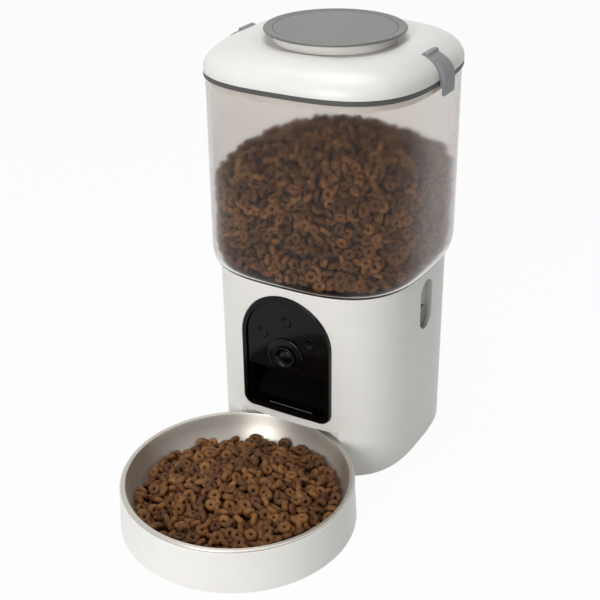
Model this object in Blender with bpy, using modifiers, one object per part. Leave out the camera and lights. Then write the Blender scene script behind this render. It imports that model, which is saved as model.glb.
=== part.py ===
# A pet feeder with a camera: a square tower with rounded corners holds a smoky hopper over a white base,
# and a steel bowl in a round white holder docks into the base's front.
# Everything is in metres, +Z up, on the floor at zero, and the bowl is on the -Y side.
import math

import bmesh
import bpy
from mathutils import Matrix

OBJECT_NAME = "pet_feeder_with_camera"

# Clearances
GAP = 0.0003  # between neighbouring pieces that stay put
RUN_GAP = 0.0006  # round a piece that slides or turns
OVERRUN = 0.004  # how far a cutter passes the face that it opens

# Plan section: a square with very round corners, |x|^power + |y|^power = half^power
SECTION_POWER = 3.05
ROUND_POWER = 2.0
SECTION_STEPS = 40
ROUND_STEPS = 24
BOWL_STEPS = 48
SMALL_STEPS = 12
ARC_STEPS = 10
SHOULDER_STEPS = 4
ARM_STEPS = 6

# Base housing
SHELL_LIFT = 0.0006  # the rubber feet hold it this far off the floor
SHELL_HEIGHT = 0.1688
SHELL_BOTTOM_HALF = 0.0862
SHELL_TOP_HALF = 0.0861
SHELL_WALL = 0.0030
SHELL_FOOT_RADIUS = 0.0010
SHELL_LIP_RADIUS = 0.0008

# Hopper
HOPPER_WALL_HEIGHT = 0.1566
HOPPER_BOTTOM_HALF = 0.0880
HOPPER_BELLY_HALF = 0.0921
HOPPER_TOP_HALF = 0.0915
HOPPER_WALL = 0.0024
HOPPER_BELLY_RISE = 0.0170  # height of the round from the joint up to the belly
HOPPER_LEDGE = 0.0075  # flat ring under the hopper that rests on the deck
HOPPER_LEDGE_RISE = 0.0012
NECK_RADIUS = 0.0410
NECK_WALL = 0.0022
NECK_FLOOR = 0.0020
NECK_DROP = 0.0461  # from the hopper's underside to the neck's underside
NECK_LENGTH = 0.0245
OUTLET_INNER_RADIUS = 0.0150
OUTLET_RIM = 0.0030
OUTLET_HALF_ANGLE = math.radians(38)

# Rim band between hopper and lid
BAND_HALF = 0.0928
BAND_HEIGHT = 0.0036
BAND_WIDTH = 0.0050

# Lid
LID_HALF = 0.0928
LID_EDGE_HEIGHT = 0.0014
SHOULDER_RUN = 0.0315
SHOULDER_RISE = 0.0195
LID_WALL = 0.0026
LID_DISH = 0.0032  # how far the top dips towards the cap
LID_DISH_RADIUS = 0.0500
LID_NECK_RADIUS = 0.0440
LID_NECK_WALL = 0.0040
LID_NECK_HEIGHT = 0.0058
SKIRT_DEPTH = 0.0105
SKIRT_WALL = 0.0018
SKIRT_GAP = 0.0006

# Desiccant cup and its cap
CUP_RADIUS = 0.0392
CUP_WALL = 0.0014
CUP_DEPTH = 0.0215
CUP_FLANGE = 0.0010
CUP_SLOT_WIDTH = 0.0022
CUP_SLOT_LENGTH = 0.0240
CUP_SLOTS = 4
COLLAR_RADIUS = 0.0492
COLLAR_FOOT_RADIUS = 0.0484
COLLAR_HEIGHT = 0.0078
CAP_RADIUS = 0.0561
CAP_THICKNESS = 0.0021
CAP_EDGE = 0.0006
CAP_RIM_FALL = 0.0008  # the rim slopes down to the disc by this much
DISC_RADIUS = 0.0486
DISC_THICKNESS = 0.0007

# Side latches
LATCH_HALF_WIDTH = 0.0097
LATCH_TOP_PROUD = 0.0026
LATCH_PROUD = 0.0045
LATCH_INLAY = 0.0019
LATCH_PIVOT_ANGLE = math.radians(50)  # round the shoulder, from the lid's edge
LATCH_LIP_THICKNESS = 0.0026
LATCH_LIP_DROP = 0.0118  # from the lid's edge to the lip's end
LATCH_PAD_DROP = 0.0056  # from the lid's edge to the end of the thick part
LATCH_BLOCK_MARGIN = 0.0055
PIN_RADIUS = 0.0008
PIN_COVER = 0.0006  # lid over the pin's bore
PIN_MARGIN = 0.0032  # how far the pin passes the latch on each side

# Bowl and its holder
BOWL_SETBACK = 0.1639  # bowl's centre from the tower's axis
HOLDER_RADIUS = 0.0931
HOLDER_FOOT_SPREAD = 0.0017  # how much wider the holder is at its foot
HOLDER_HEIGHT = 0.0362
HOLDER_WALL = 0.0026
HOLDER_FLOOR = 0.0022
HOLDER_FOOT_RADIUS = 0.0010
HOLDER_LIP_RADIUS = 0.0006
BOWL_LIP_RADIUS = 0.0923
BOWL_LIP_WIDTH = 0.0039
BOWL_LIP_HEIGHT = 0.0012
BOWL_WALL = 0.0010
BOWL_FLOOR_RISE = 0.0020  # bowl's underside over the holder's floor
PAD_RADIUS = 0.0740
PAD_WIDTH = 0.0100
PAD_SINK = 0.0010

# Recess for the bowl in the base's front
DOCK_GAP = 0.0005
DOCK_WALL = 0.0020
DOCK_HEIGHT = 0.0440  # floor to the edge over the bowl

# Front panel
PANEL_HALF = 0.0410
PANEL_BOTTOM_Z = 0.0508
PANEL_SPRING_Z = 0.1200
PANEL_CORNER = 0.0095
PANEL_RIM = 0.0042
PANEL_PROUD = 0.0006
PANEL_EDGE_RADIUS = 0.0012
FLANGE_WIDTH = 0.0030
FLANGE_GAP = 0.0006
FLANGE_THICKNESS = 0.0020
LEDGE_WIDTH = 0.0030
FACE_SINK = 0.0020
FACE_THICKNESS = 0.0025
MOUTH_SILL = 0.0062
MOUTH_HEIGHT = 0.0345
MOUTH_HALF = 0.0345
MOUTH_CORNER = 0.0030
CROSSBAR_HEIGHT = 0.0040

# Camera
CAMERA_Z = 0.1060
RING_RADIUS = 0.0160
RING_BEVEL = 0.0028
RING_PROUD = 0.0030
BARREL_RADIUS = 0.0097
BARREL_PROUD = 0.0052
BARREL_LENGTH = 0.0155
BARREL_RIM = 0.0018
LENS_RADIUS = 0.0056
LENS_SINK = 0.0028
LENS_DOME = 0.0012
LENS_THICKNESS = 0.0022
CAMERA_BOARD_HALF = 0.0120
CAMERA_BOARD_TOP = 0.0105
CAMERA_BOARD_BOTTOM = 0.0100

# Front buttons
BUTTON_RADIUS = 0.0049
BUTTON_PROUD = 0.0006
BUTTON_FLANGE = 0.0010
BUTTON_FLANGE_THICKNESS = 0.0011
BUTTON_TRAVEL = 0.0010
BUTTON_EDGE = 0.0005
SIDE_BUTTON_X = 0.0217
SIDE_BUTTON_Z = 0.1233
TOP_BUTTON_Z = 0.1378
LIGHT_Z = 0.1483
LIGHT_RADIUS = 0.0008
LIGHT_LENGTH = 0.0050
MAT_THICKNESS = 0.0024
MAT_BOTTOM_Z = 0.1172
BOARD_THICKNESS = 0.0016
BUTTON_BOARD_HALF = 0.0310
BUTTON_BOARD_HEIGHT = 0.0320

# Side release buttons in their finger recesses
RECESS_HALF_WIDTH = 0.0115
RECESS_BOTTOM_Z = 0.1140
RECESS_HEIGHT = 0.0450
RECESS_DEPTH = 0.0050
RECESS_FLOOR = 0.0048
RECESS_MARGIN = 0.0028
RELEASE_RADIUS = 0.0085
RELEASE_PROUD = 0.0019
RELEASE_FLANGE = 0.0016
RELEASE_FLANGE_THICKNESS = 0.0020
RELEASE_EDGE = 0.0008

# Deck under the hopper
DECK_WALL = 0.0022
DECK_FLOOR = 0.0022
DECK_RIM_THICKNESS = 0.0034

# Chute
CHUTE_HALF = 0.0342
CHUTE_WALL = 0.0018
CHUTE_INLET_FRONT = 0.0370  # in front of the tower's axis
CHUTE_INLET_REAR = 0.0162
CHUTE_KNEE_FRONT = 0.0508
CHUTE_KNEE_RISE = 0.0020
CHUTE_THROAT_DROP = 0.0120
CHUTE_BACK_DROP = 0.0062

# Dispensing wheel
ROTOR_RADIUS = 0.0370
ROTOR_HEIGHT = 0.0200
ROTOR_HUB_RADIUS = 0.0090
ROTOR_VANE = 0.0030
ROTOR_VANES = 6
HEX_FLATS = 0.0068
HEX_GAP = 0.0003
HEX_REACH = 0.0125
STIRRER_REACH = 0.0260
STIRRER_THICKNESS = 0.0050
STIRRER_WIDTH = 0.0050
SHIELD_THICKNESS = 0.0020
SHIELD_RISE = 0.0010
SHIELD_HALF_ANGLE = math.radians(50)

# Drive
GEAR_MODULE = 0.0010
GEAR_TEETH = 24
PINION_TEETH = 12
GEAR_THICKNESS = 0.0050
GEAR_BACKLASH = 0.0005
GEAR_DROP = 0.0053  # from the deck's underside to the gears
SHAFT_RADIUS = 0.0035
BRACKET_THICKNESS = 0.0025
BRACKET_HALF = 0.0260
BRACKET_FRONT = 0.0110
BRACKET_REAR = 0.0370
BRACKET_DROP = 0.0123  # from the deck's underside to the bracket's top
POST_RADIUS = 0.0028
POST_X = 0.0220
POST_FRONT = 0.0070
POST_REAR = 0.0330
MOTOR_RADIUS = 0.0130
MOTOR_LENGTH = 0.0290
MOTOR_EDGE = 0.0010
PINION_SHAFT_RADIUS = 0.0020

# Bottom cover, feet, screws
COVER_SINK = 0.0006
COVER_THICKNESS = 0.0034
FOOT_RADIUS = 0.0070
FOOT_POCKET = 0.0010
FOOT_X = 0.0695
FOOT_Y = 0.0400
SCREW_X = 0.0480
SCREW_FRONT_Y = 0.0520
SCREW_REAR_Y = 0.0690
SCREW_HEAD_RADIUS = 0.0030
SCREW_HEAD_HEIGHT = 0.0016
SCREW_HEAD_SINK = 0.0004
SCREW_SHANK_RADIUS = 0.0014
SCREW_LENGTH = 0.0130
BOSS_RADIUS = 0.0040
BOSS_HEIGHT = 0.0200
RIB_THICKNESS = 0.0020

# Batteries
CELL_RADIUS = 0.0171
CELL_LENGTH = 0.0615
CELL_PITCH = 0.0352
CELL_NUB_RADIUS = 0.0047
CELL_NUB_HEIGHT = 0.0015
CELL_COUNT = 3
TRAY_WALL = 0.0016
TRAY_CENTRE_Y = 0.0210
DOOR_MARGIN = 0.0040
DOOR_THICKNESS = 0.0013
DOOR_TRAVEL = 0.0080

# Electronics at the back
MAIN_BOARD_HALF = 0.0450
MAIN_BOARD_BOTTOM_Z = 0.0980
MAIN_BOARD_HEIGHT = 0.0520
MAIN_BOARD_Y = 0.0730
BOARD_BOSS_RADIUS = 0.0030
BOARD_BOSS_INSET = 0.0070
RADIO_WIDTH = 0.0180
RADIO_HEIGHT = 0.0260
RADIO_THICKNESS = 0.0020
RADIO_INSET = 0.0100
SPEAKER_RADIUS = 0.0180
SPEAKER_DEPTH = 0.0120
SPEAKER_Z = 0.0740
SPEAKER_MAGNET_RADIUS = 0.0110
SPEAKER_SEAT = 0.0008
GRILLE_SLOTS = 5
GRILLE_SLOT_WIDTH = 0.0016
GRILLE_PITCH = 0.0038
GRILLE_HALF_LENGTH = 0.0110
SOCKET_X = 0.0300
SOCKET_Z = 0.0200
SOCKET_NOSE_RADIUS = 0.0045
SOCKET_BODY_RADIUS = 0.0068
SOCKET_BODY_DEPTH = 0.0110
SOCKET_BORE_RADIUS = 0.0028
SOCKET_BORE_DEPTH = 0.0090
SOCKET_PIN_RADIUS = 0.0010
SOCKET_PIN_LENGTH = 0.0070
SOCKET_SINK = 0.0004

# Shares, chosen by hand, of the sizes that they follow
BELLY_SHARES = ((0.0, 0.0), (0.42, 0.08), (0.74, 0.30), (0.93, 0.62), (1.0, 1.0))
BOWL_PROFILE_SHARES = ((0.0, 1.0), (0.02, 0.72), (0.07, 0.38), (0.14, 0.16), (0.25, 0.04), (0.70, 0.0))
RING_SHARES = ((0.0, 0.0), (0.25, 0.45), (0.60, 0.85), (1.0, 1.0))

# Places that follow from the sizes above
SHELL_TOP_Z = SHELL_LIFT + SHELL_HEIGHT
HOPPER_BOTTOM_Z = SHELL_TOP_Z + GAP
HOPPER_TOP_Z = HOPPER_BOTTOM_Z + HOPPER_WALL_HEIGHT
BAND_BOTTOM_Z = HOPPER_TOP_Z + GAP
LID_BOTTOM_Z = BAND_BOTTOM_Z + BAND_HEIGHT + GAP
SHOULDER_Z = LID_BOTTOM_Z + LID_EDGE_HEIGHT
LID_TOP_Z = SHOULDER_Z + SHOULDER_RISE
LID_DISH_Z = LID_TOP_Z - LID_DISH
LID_NECK_Z = LID_DISH_Z + LID_NECK_HEIGHT
COLLAR_TOP_Z = LID_DISH_Z + GAP + COLLAR_HEIGHT
NECK_BOTTOM_Z = HOPPER_BOTTOM_Z - NECK_DROP
NECK_FLOOR_Z = NECK_BOTTOM_Z + NECK_FLOOR
NECK_INNER_RADIUS = NECK_RADIUS - NECK_WALL
DECK_FLOOR_Z = NECK_BOTTOM_Z - RUN_GAP
DECK_UNDER_Z = DECK_FLOOR_Z - DECK_FLOOR
GEAR_Z = DECK_UNDER_Z - GEAR_DROP - GEAR_THICKNESS
BRACKET_Z = DECK_UNDER_Z - BRACKET_DROP - BRACKET_THICKNESS
PINION_Y = GEAR_MODULE * (GEAR_TEETH + PINION_TEETH) / 2
ROTOR_Z = NECK_FLOOR_Z + RUN_GAP
HUB_BORE_RADIUS = (HEX_FLATS / 2 + HEX_GAP) / math.cos(math.pi / 6)
COVER_Z = SHELL_LIFT + COVER_SINK
COVER_TOP_Z = COVER_Z + COVER_THICKNESS
CELL_Z = COVER_TOP_Z + GAP + CELL_RADIUS + FOOT_POCKET
HOLDER_TOP_Z = SHELL_LIFT + HOLDER_HEIGHT
BOWL_LIP_Z = HOLDER_TOP_Z + GAP
BOWL_UNDER_Z = SHELL_LIFT + HOLDER_FLOOR + BOWL_FLOOR_RISE
FOOT_SPREAD_RADIUS = HOLDER_RADIUS + HOLDER_FOOT_SPREAD
DOCK_RADIUS = FOOT_SPREAD_RADIUS + DOCK_GAP
TOWER_Y = (BOWL_SETBACK + FOOT_SPREAD_RADIUS - LID_HALF) / 2  # puts the origin under the middle of the whole
MOUTH_BOTTOM_Z = PANEL_BOTTOM_Z + MOUTH_SILL
MOUTH_TOP_Z = MOUTH_BOTTOM_Z + MOUTH_HEIGHT
RECESS_TOP_Z = RECESS_BOTTOM_Z + RECESS_HEIGHT
RELEASE_Z = RECESS_BOTTOM_Z + RECESS_HALF_WIDTH

# Colour, roughness, metallic value and opacity of each finish
FINISHES = {
    "white_plastic": ((0.84, 0.83, 0.80), 0.32, 0.0, 1.0),
    "smoky_plastic": ((0.36, 0.34, 0.33), 0.25, 0.0, 0.45),
    "dark_silicone": ((0.045, 0.045, 0.05), 0.55, 0.0, 1.0),
    "grey_plastic": ((0.28, 0.28, 0.275), 0.45, 0.0, 1.0),
    "latch_plastic": ((0.27, 0.275, 0.28), 0.42, 0.0, 1.0),
    "gloss_black": ((0.006, 0.006, 0.007), 0.08, 0.0, 1.0),
    "satin_black": ((0.012, 0.012, 0.013), 0.35, 0.0, 1.0),
    "lens_glass": ((0.01, 0.01, 0.015), 0.03, 0.0, 0.6),
    "brushed_steel": ((0.62, 0.60, 0.56), 0.24, 1.0, 1.0),
    "bright_steel": ((0.66, 0.66, 0.66), 0.20, 1.0, 1.0),
    "rubber": ((0.07, 0.07, 0.07), 0.75, 0.0, 1.0),
    "pale_silicone": ((0.70, 0.70, 0.68), 0.50, 0.0, 1.0),
    "green_board": ((0.01, 0.11, 0.05), 0.45, 0.0, 1.0),
    "natural_plastic": ((0.80, 0.79, 0.75), 0.40, 0.0, 1.0),
    "cell_wrap": ((0.10, 0.10, 0.11), 0.35, 0.2, 1.0),
}


# Places and turns, with the turns of round pieces that lie along an axis
HERE = (0, 0, 0)
UPRIGHT = (0, 0, 0)
TO_FRONT = (math.pi / 2, 0, 0)
TO_BACK = (-math.pi / 2, 0, 0)
TO_RIGHT = (0, math.pi / 2, 0)
TO_LEFT = (0, -math.pi / 2, 0)


def clear_scene():
    for obj in list(bpy.data.objects):
        bpy.data.objects.remove(obj)


def new_collection(name):
    collection = bpy.data.collections.new(name)
    bpy.context.scene.collection.children.link(collection)
    return collection


def frame(name, place=HERE, parent=None):
    """An empty that carries pieces, standing on the axis of their joint."""
    empty = bpy.data.objects.new(name, None)
    empty.empty_display_size = GEAR_THICKNESS
    empty.location = place
    empty.parent = parent
    PARTS.objects.link(empty)
    return empty


def dress(obj, finish):
    colour, roughness, metallic, alpha = FINISHES[finish]
    look = bpy.data.materials.new(f"{obj.name}_{finish}")
    look.use_nodes = True
    shader = look.node_tree.nodes["Principled BSDF"]
    shader.inputs["Base Color"].default_value = (*colour, 1)
    shader.inputs["Roughness"].default_value = roughness
    shader.inputs["Metallic"].default_value = metallic
    shader.inputs["Alpha"].default_value = alpha
    obj.data.materials.clear()
    obj.data.materials.append(look)


def place_mesh(name, mesh, finish=None, parent=None, place=HERE, turn=UPRIGHT):
    """Makes a part of this mesh, or a cutter when it has no finish."""
    obj = bpy.data.objects.new(name, mesh)
    obj.location = place
    obj.rotation_euler = turn
    obj.parent = parent
    if finish is None:
        CUTTERS.objects.link(obj)
        obj.hide_render = True
        obj.display_type = "WIRE"
    else:
        PARTS.objects.link(obj)
        dress(obj, finish)
    return obj


def smooth(obj):
    obj.data.shade_smooth()
    obj.data.set_sharp_from_angle(angle=math.radians(35))


def mesh_from(bm, name):
    mesh = bpy.data.meshes.new(name)
    bmesh.ops.recalc_face_normals(bm, faces=bm.faces)
    bm.to_mesh(mesh)
    bm.free()
    return mesh


def section_points(half, power):
    """Points round the plan section, at even angles."""
    points = []
    for step in range(SECTION_STEPS):
        angle = 2 * math.pi * step / SECTION_STEPS
        across, along = math.cos(angle), math.sin(angle)
        x = half * math.copysign(abs(across) ** (2 / power), across)
        y = half * math.copysign(abs(along) ** (2 / power), along)
        points.append((x, y))
    return points


def loft(name, rings, finish=None, parent=None, loop=False):
    """Skins rings of (half width, height, power); the ends are capped unless the skin closes on itself."""
    bm = bmesh.new()
    loops = []
    for half, height, power in rings:
        loops.append([bm.verts.new((x, y, height)) for x, y in section_points(half, power)])
    pairs = list(zip(loops, loops[1:]))
    if loop:
        pairs.append((loops[-1], loops[0]))
    else:
        bm.faces.new(loops[0])
        bm.faces.new(loops[-1])
    for first, second in pairs:
        for step in range(SECTION_STEPS):
            after = (step + 1) % SECTION_STEPS
            bm.faces.new((first[step], first[after], second[after], second[step]))
    obj = place_mesh(name, mesh_from(bm, name), finish, parent)
    smooth(obj)
    return obj


def turned(
    name, profile, finish=None, parent=None, place=HERE, turn=UPRIGHT, steps=ROUND_STEPS, loop=False
):
    """Turns a profile of (radius, height) points that runs down its outer side."""
    bm = bmesh.new()
    points = [bm.verts.new((radius, 0, height)) for radius, height in profile]
    for first, second in zip(points, points[1:]):
        bm.edges.new((first, second))
    if loop:
        bm.edges.new((points[-1], points[0]))
    mesh = bpy.data.meshes.new(name)
    bm.to_mesh(mesh)
    bm.free()
    obj = place_mesh(name, mesh, finish, parent, place, turn)
    screw = obj.modifiers.new("turn", "SCREW")
    screw.axis = "Z"
    screw.angle = 2 * math.pi
    screw.steps = steps
    screw.render_steps = steps
    screw.use_merge_vertices = True
    screw.merge_threshold = GAP / 30
    screw.use_smooth_shade = True
    return obj


def rod(
    name, radius, low, high, finish=None, parent=None, place=HERE, turn=UPRIGHT, steps=ROUND_STEPS
):
    """A plain round bar between two heights on its own axis."""
    profile = ((0, high), (radius, high), (radius, low), (0, low))
    return turned(name, profile, finish, parent, place, turn, steps)


def box(name, low, high, finish=None, parent=None, place=HERE, turn=UPRIGHT):
    """A box between two corners."""
    bm = bmesh.new()
    bmesh.ops.create_cube(bm, size=1)
    size = [top - bottom for bottom, top in zip(low, high)]
    middle = [(top + bottom) / 2 for bottom, top in zip(low, high)]
    bmesh.ops.transform(bm, verts=bm.verts, matrix=Matrix.Translation(middle) @ Matrix.Diagonal((*size, 1)))
    return place_mesh(name, mesh_from(bm, name), finish, parent, place, turn)


# How a flat outline (u, v) stands: the columns are where u, v and the thickness point
FACING = {
    "top": Matrix(((1, 0, 0, 0), (0, 1, 0, 0), (0, 0, 1, 0), (0, 0, 0, 1))),
    "front": Matrix(((1, 0, 0, 0), (0, 0, -1, 0), (0, 1, 0, 0), (0, 0, 0, 1))),
    "side": Matrix(((0, 0, 1, 0), (1, 0, 0, 0), (0, 1, 0, 0), (0, 0, 0, 1))),
}


def plate(name, outline, low, high, facing, finish=None, parent=None, place=HERE):
    """A flat outline as thick as from low to high, along the way that it faces."""
    curve = bpy.data.curves.new(f"{name}_outline", "CURVE")
    curve.dimensions = "2D"
    curve.fill_mode = "BOTH"
    curve.extrude = (high - low) / 2
    spline = curve.splines.new("POLY")
    spline.points.add(len(outline) - 1)
    for point, (u, v) in zip(spline.points, outline):
        point.co = (u, v, 0, 1)
    spline.use_cyclic_u = True
    flat = bpy.data.objects.new(f"{name}_outline", curve)
    bpy.context.scene.collection.objects.link(flat)
    graph = bpy.context.evaluated_depsgraph_get()
    mesh = bpy.data.meshes.new_from_object(flat.evaluated_get(graph))
    bpy.data.objects.remove(flat)
    bm = bmesh.new()
    bm.from_mesh(mesh)
    bpy.data.meshes.remove(mesh)
    bmesh.ops.remove_doubles(bm, verts=bm.verts, dist=GAP / 100)
    shift = Matrix.Translation((0, 0, (low + high) / 2))
    bmesh.ops.transform(bm, verts=bm.verts, matrix=FACING[facing] @ shift)
    return place_mesh(name, mesh_from(bm, name), finish, parent, place)


def arc(centre, radius, start, end, steps):
    """Points on an arc, ends included."""
    points = []
    for step in range(steps + 1):
        angle = start + (end - start) * step / steps
        points.append((centre[0] + radius * math.cos(angle), centre[1] + radius * math.sin(angle)))
    return points


def arch_outline(half, bottom, spring, corner):
    """A door shape: a half circle over straight sides, with rounded lower corners."""
    points = arc((0, spring), half, 0, math.pi, 2 * ARC_STEPS)
    points += arc((corner - half, bottom + corner), corner, math.pi, 1.5 * math.pi, 4)
    points += arc((half - corner, bottom + corner), corner, 1.5 * math.pi, 2 * math.pi, 4)
    return points


def rounded_outline(left, right, bottom, top, corner):
    points = arc((right - corner, top - corner), corner, 0, math.pi / 2, 3)
    points += arc((left + corner, top - corner), corner, math.pi / 2, math.pi, 3)
    points += arc((left + corner, bottom + corner), corner, math.pi, 1.5 * math.pi, 3)
    points += arc((right - corner, bottom + corner), corner, 1.5 * math.pi, 2 * math.pi, 3)
    return points


def stadium_outline(half_width, bottom, top):
    points = arc((0, top - half_width), half_width, 0, math.pi, ARC_STEPS)
    points += arc((0, bottom + half_width), half_width, math.pi, 2 * math.pi, ARC_STEPS)
    return points


def sector_outline(inner, outer, half_angle):
    """A piece of a ring round the tower's axis, centred on the front."""
    front = -math.pi / 2
    points = arc((0, 0), outer, front - half_angle, front + half_angle, ARC_STEPS)
    points += arc((0, 0), inner, front + half_angle, front - half_angle, ARC_STEPS // 2)
    return points


def hexagon_outline(flats):
    return arc((0, 0), flats / 2 / math.cos(math.pi / 6), 0, 2 * math.pi, 6)[:-1]


def gear_outline(teeth, start):
    """Straight-flanked teeth, thinned by the backlash; a tooth stands at the start angle."""
    pitch = GEAR_MODULE * teeth / 2
    root = pitch - 1.25 * GEAR_MODULE
    tip = pitch + 0.9 * GEAR_MODULE
    thickness = math.pi * GEAR_MODULE / 2 - GEAR_BACKLASH
    at_root = thickness * 0.75 / root
    at_tip = thickness * 0.27 / tip
    points = []
    for tooth in range(teeth):
        centre = start + 2 * math.pi * tooth / teeth
        for radius, angle in ((root, -at_root), (tip, -at_tip), (tip, at_tip), (root, at_root)):
            points.append((radius * math.cos(centre + angle), radius * math.sin(centre + angle)))
    return points


def grown_outline(points, distance):
    """The outline moved out by a distance, with mitred corners; the points run anticlockwise."""
    grown = []
    count = len(points)
    for index in range(count):
        before, here, after = points[index - 1], points[index], points[(index + 1) % count]
        first = math.atan2(here[1] - before[1], here[0] - before[0])
        second = math.atan2(after[1] - here[1], after[0] - here[0])
        half_turn = math.remainder(second - first, 2 * math.pi) / 2
        normal = first + half_turn - math.pi / 2
        reach = distance / math.cos(half_turn)
        grown.append((here[0] + reach * math.cos(normal), here[1] + reach * math.sin(normal)))
    return grown


def boolean(obj, other, operation="DIFFERENCE"):
    modifier = obj.modifiers.new(f"{operation.lower()}_{other.name}", "BOOLEAN")
    modifier.operation = operation
    modifier.solver = "EXACT"
    modifier.object = other


def round_edges(obj, width, segments=2):
    bevel = obj.modifiers.new("rounded_edges", "BEVEL")
    bevel.width = width
    bevel.segments = segments
    bevel.limit_method = "ANGLE"
    bevel.angle_limit = math.radians(50)


def shell_half(height):
    """The base housing's outer half width at a height."""
    share = (height - SHELL_LIFT) / SHELL_HEIGHT
    return SHELL_BOTTOM_HALF + (SHELL_TOP_HALF - SHELL_BOTTOM_HALF) * share


def section_reach(half, aside):
    """How far the section reaches from its axis at a place beside it."""
    return half * (1 - (abs(aside) / half) ** SECTION_POWER) ** (1 / SECTION_POWER)


PANEL_MIDDLE_Z = (PANEL_BOTTOM_Z + PANEL_SPRING_Z) / 2
PANEL_FRONT = shell_half(PANEL_MIDDLE_Z) + PANEL_PROUD
FLANGE_FRONT = section_reach(shell_half(PANEL_MIDDLE_Z) - SHELL_WALL, PANEL_HALF + FLANGE_WIDTH) - FLANGE_GAP
PANEL_BACK = FLANGE_FRONT - FLANGE_THICKNESS
FACE_FRONT = PANEL_FRONT - FACE_SINK
FACE_BACK = FACE_FRONT - FACE_THICKNESS
LEDGE_FRONT = FACE_BACK - GAP
RECESS_BACK = shell_half(RELEASE_Z) - RECESS_DEPTH
BACK_WALL = shell_half(SPEAKER_Z) - SHELL_WALL

BOWL_CENTRE = (0, -BOWL_SETBACK, 0)


def cover_screw_places():
    places = []
    for x in (-SCREW_X, SCREW_X):
        places.append((x, -SCREW_FRONT_Y))
        places.append((x, SCREW_REAR_Y))
    return places


def board_boss_places():
    low = MAIN_BOARD_BOTTOM_Z + BOARD_BOSS_INSET
    high = MAIN_BOARD_BOTTOM_Z + MAIN_BOARD_HEIGHT - BOARD_BOSS_INSET
    across = MAIN_BOARD_HALF - BOARD_BOSS_INSET
    return [(x, z) for x in (-across, across) for z in (low, high)]


def base_shell(tower):
    top_inner = SHELL_TOP_HALF - SHELL_WALL
    bottom_inner = SHELL_BOTTOM_HALF - SHELL_WALL
    rings = [(top_inner, SHELL_TOP_Z, SECTION_POWER)]
    rings.append((SHELL_TOP_HALF - SHELL_LIP_RADIUS, SHELL_TOP_Z, SECTION_POWER))
    rings.append((SHELL_TOP_HALF, SHELL_TOP_Z - SHELL_LIP_RADIUS, SECTION_POWER))
    foot_x = SHELL_BOTTOM_HALF - SHELL_FOOT_RADIUS
    for half, z in arc((foot_x, SHELL_LIFT + SHELL_FOOT_RADIUS), SHELL_FOOT_RADIUS, 0, -math.pi / 2, 3):
        rings.append((half, z, SECTION_POWER))
    rings.append((bottom_inner, SHELL_LIFT, SECTION_POWER))
    shell = loft("base_shell", rings, "white_plastic", tower, loop=True)
    add_recess_blocks(shell, tower)
    add_cover_bosses(shell, tower)
    add_board_bosses(shell, tower)
    cut_side_recesses(shell, tower)
    window = arch_outline(PANEL_HALF + GAP, PANEL_BOTTOM_Z - GAP, PANEL_SPRING_Z, PANEL_CORNER)
    front = plate("panel_window", window, PANEL_BACK - OVERRUN, PANEL_FRONT + OVERRUN, "front", None, tower)
    boolean(shell, front)
    dock = rod("dock_cut", DOCK_RADIUS, -OVERRUN, DOCK_HEIGHT, None, tower, BOWL_CENTRE, steps=BOWL_STEPS)
    boolean(shell, dock)
    cut_back_openings(shell, tower)


def add_recess_blocks(shell, tower):
    """The wall behind each finger recess is thick enough to hold it."""
    inner = RECESS_BACK - RECESS_FLOOR
    outer = shell_half(RELEASE_Z) - SHELL_WALL / 2
    reach = RECESS_HALF_WIDTH + RECESS_MARGIN
    low_z, high_z = RECESS_BOTTOM_Z - RECESS_MARGIN, RECESS_TOP_Z + RECESS_MARGIN
    for side, name in ((-1, "left"), (1, "right")):
        low_x, high_x = sorted((side * inner, side * outer))
        block = box(f"recess_block_{name}", (low_x, -reach, low_z), (high_x, reach, high_z), None, tower)
        boolean(shell, block, "UNION")


def add_cover_bosses(shell, tower):
    """Four posts for the cover's screws, each with a rib to the side wall."""
    low, high = COVER_TOP_Z + GAP, COVER_TOP_Z + BOSS_HEIGHT
    for number, (x, y) in enumerate(cover_screw_places(), 1):
        wall = section_reach(shell_half(high) - SHELL_WALL, y) + SHELL_WALL / 2
        low_x, high_x = sorted((x, math.copysign(wall, x)))
        half = RIB_THICKNESS / 2
        rib = box(f"boss_rib_{number}", (low_x, y - half, low), (high_x, y + half, high), None, tower)
        boolean(shell, rib, "UNION")
        post = rod(f"boss_post_{number}", BOSS_RADIUS, low, high, None, tower, (x, y, 0), steps=SMALL_STEPS)
        boolean(shell, post, "UNION")
        bore_top = COVER_Z + SCREW_HEAD_SINK + SCREW_LENGTH + OVERRUN / 2
        radius = SCREW_SHANK_RADIUS + GAP
        name, place = f"boss_bore_{number}", (x, y, 0)
        bore = rod(name, radius, low - OVERRUN, bore_top, None, tower, place, steps=SMALL_STEPS)
        boolean(shell, bore)


def add_board_bosses(shell, tower):
    """Four pegs on the back wall that the main board sits against."""
    start = MAIN_BOARD_Y + BOARD_THICKNESS + GAP
    for number, (x, z) in enumerate(board_boss_places(), 1):
        end = section_reach(shell_half(z) - SHELL_WALL, x) + SHELL_WALL / 2
        name, place = f"board_peg_{number}", (x, 0, z)
        peg = rod(name, BOARD_BOSS_RADIUS, start, end, None, tower, place, TO_BACK, SMALL_STEPS)
        boolean(shell, peg, "UNION")


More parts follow.
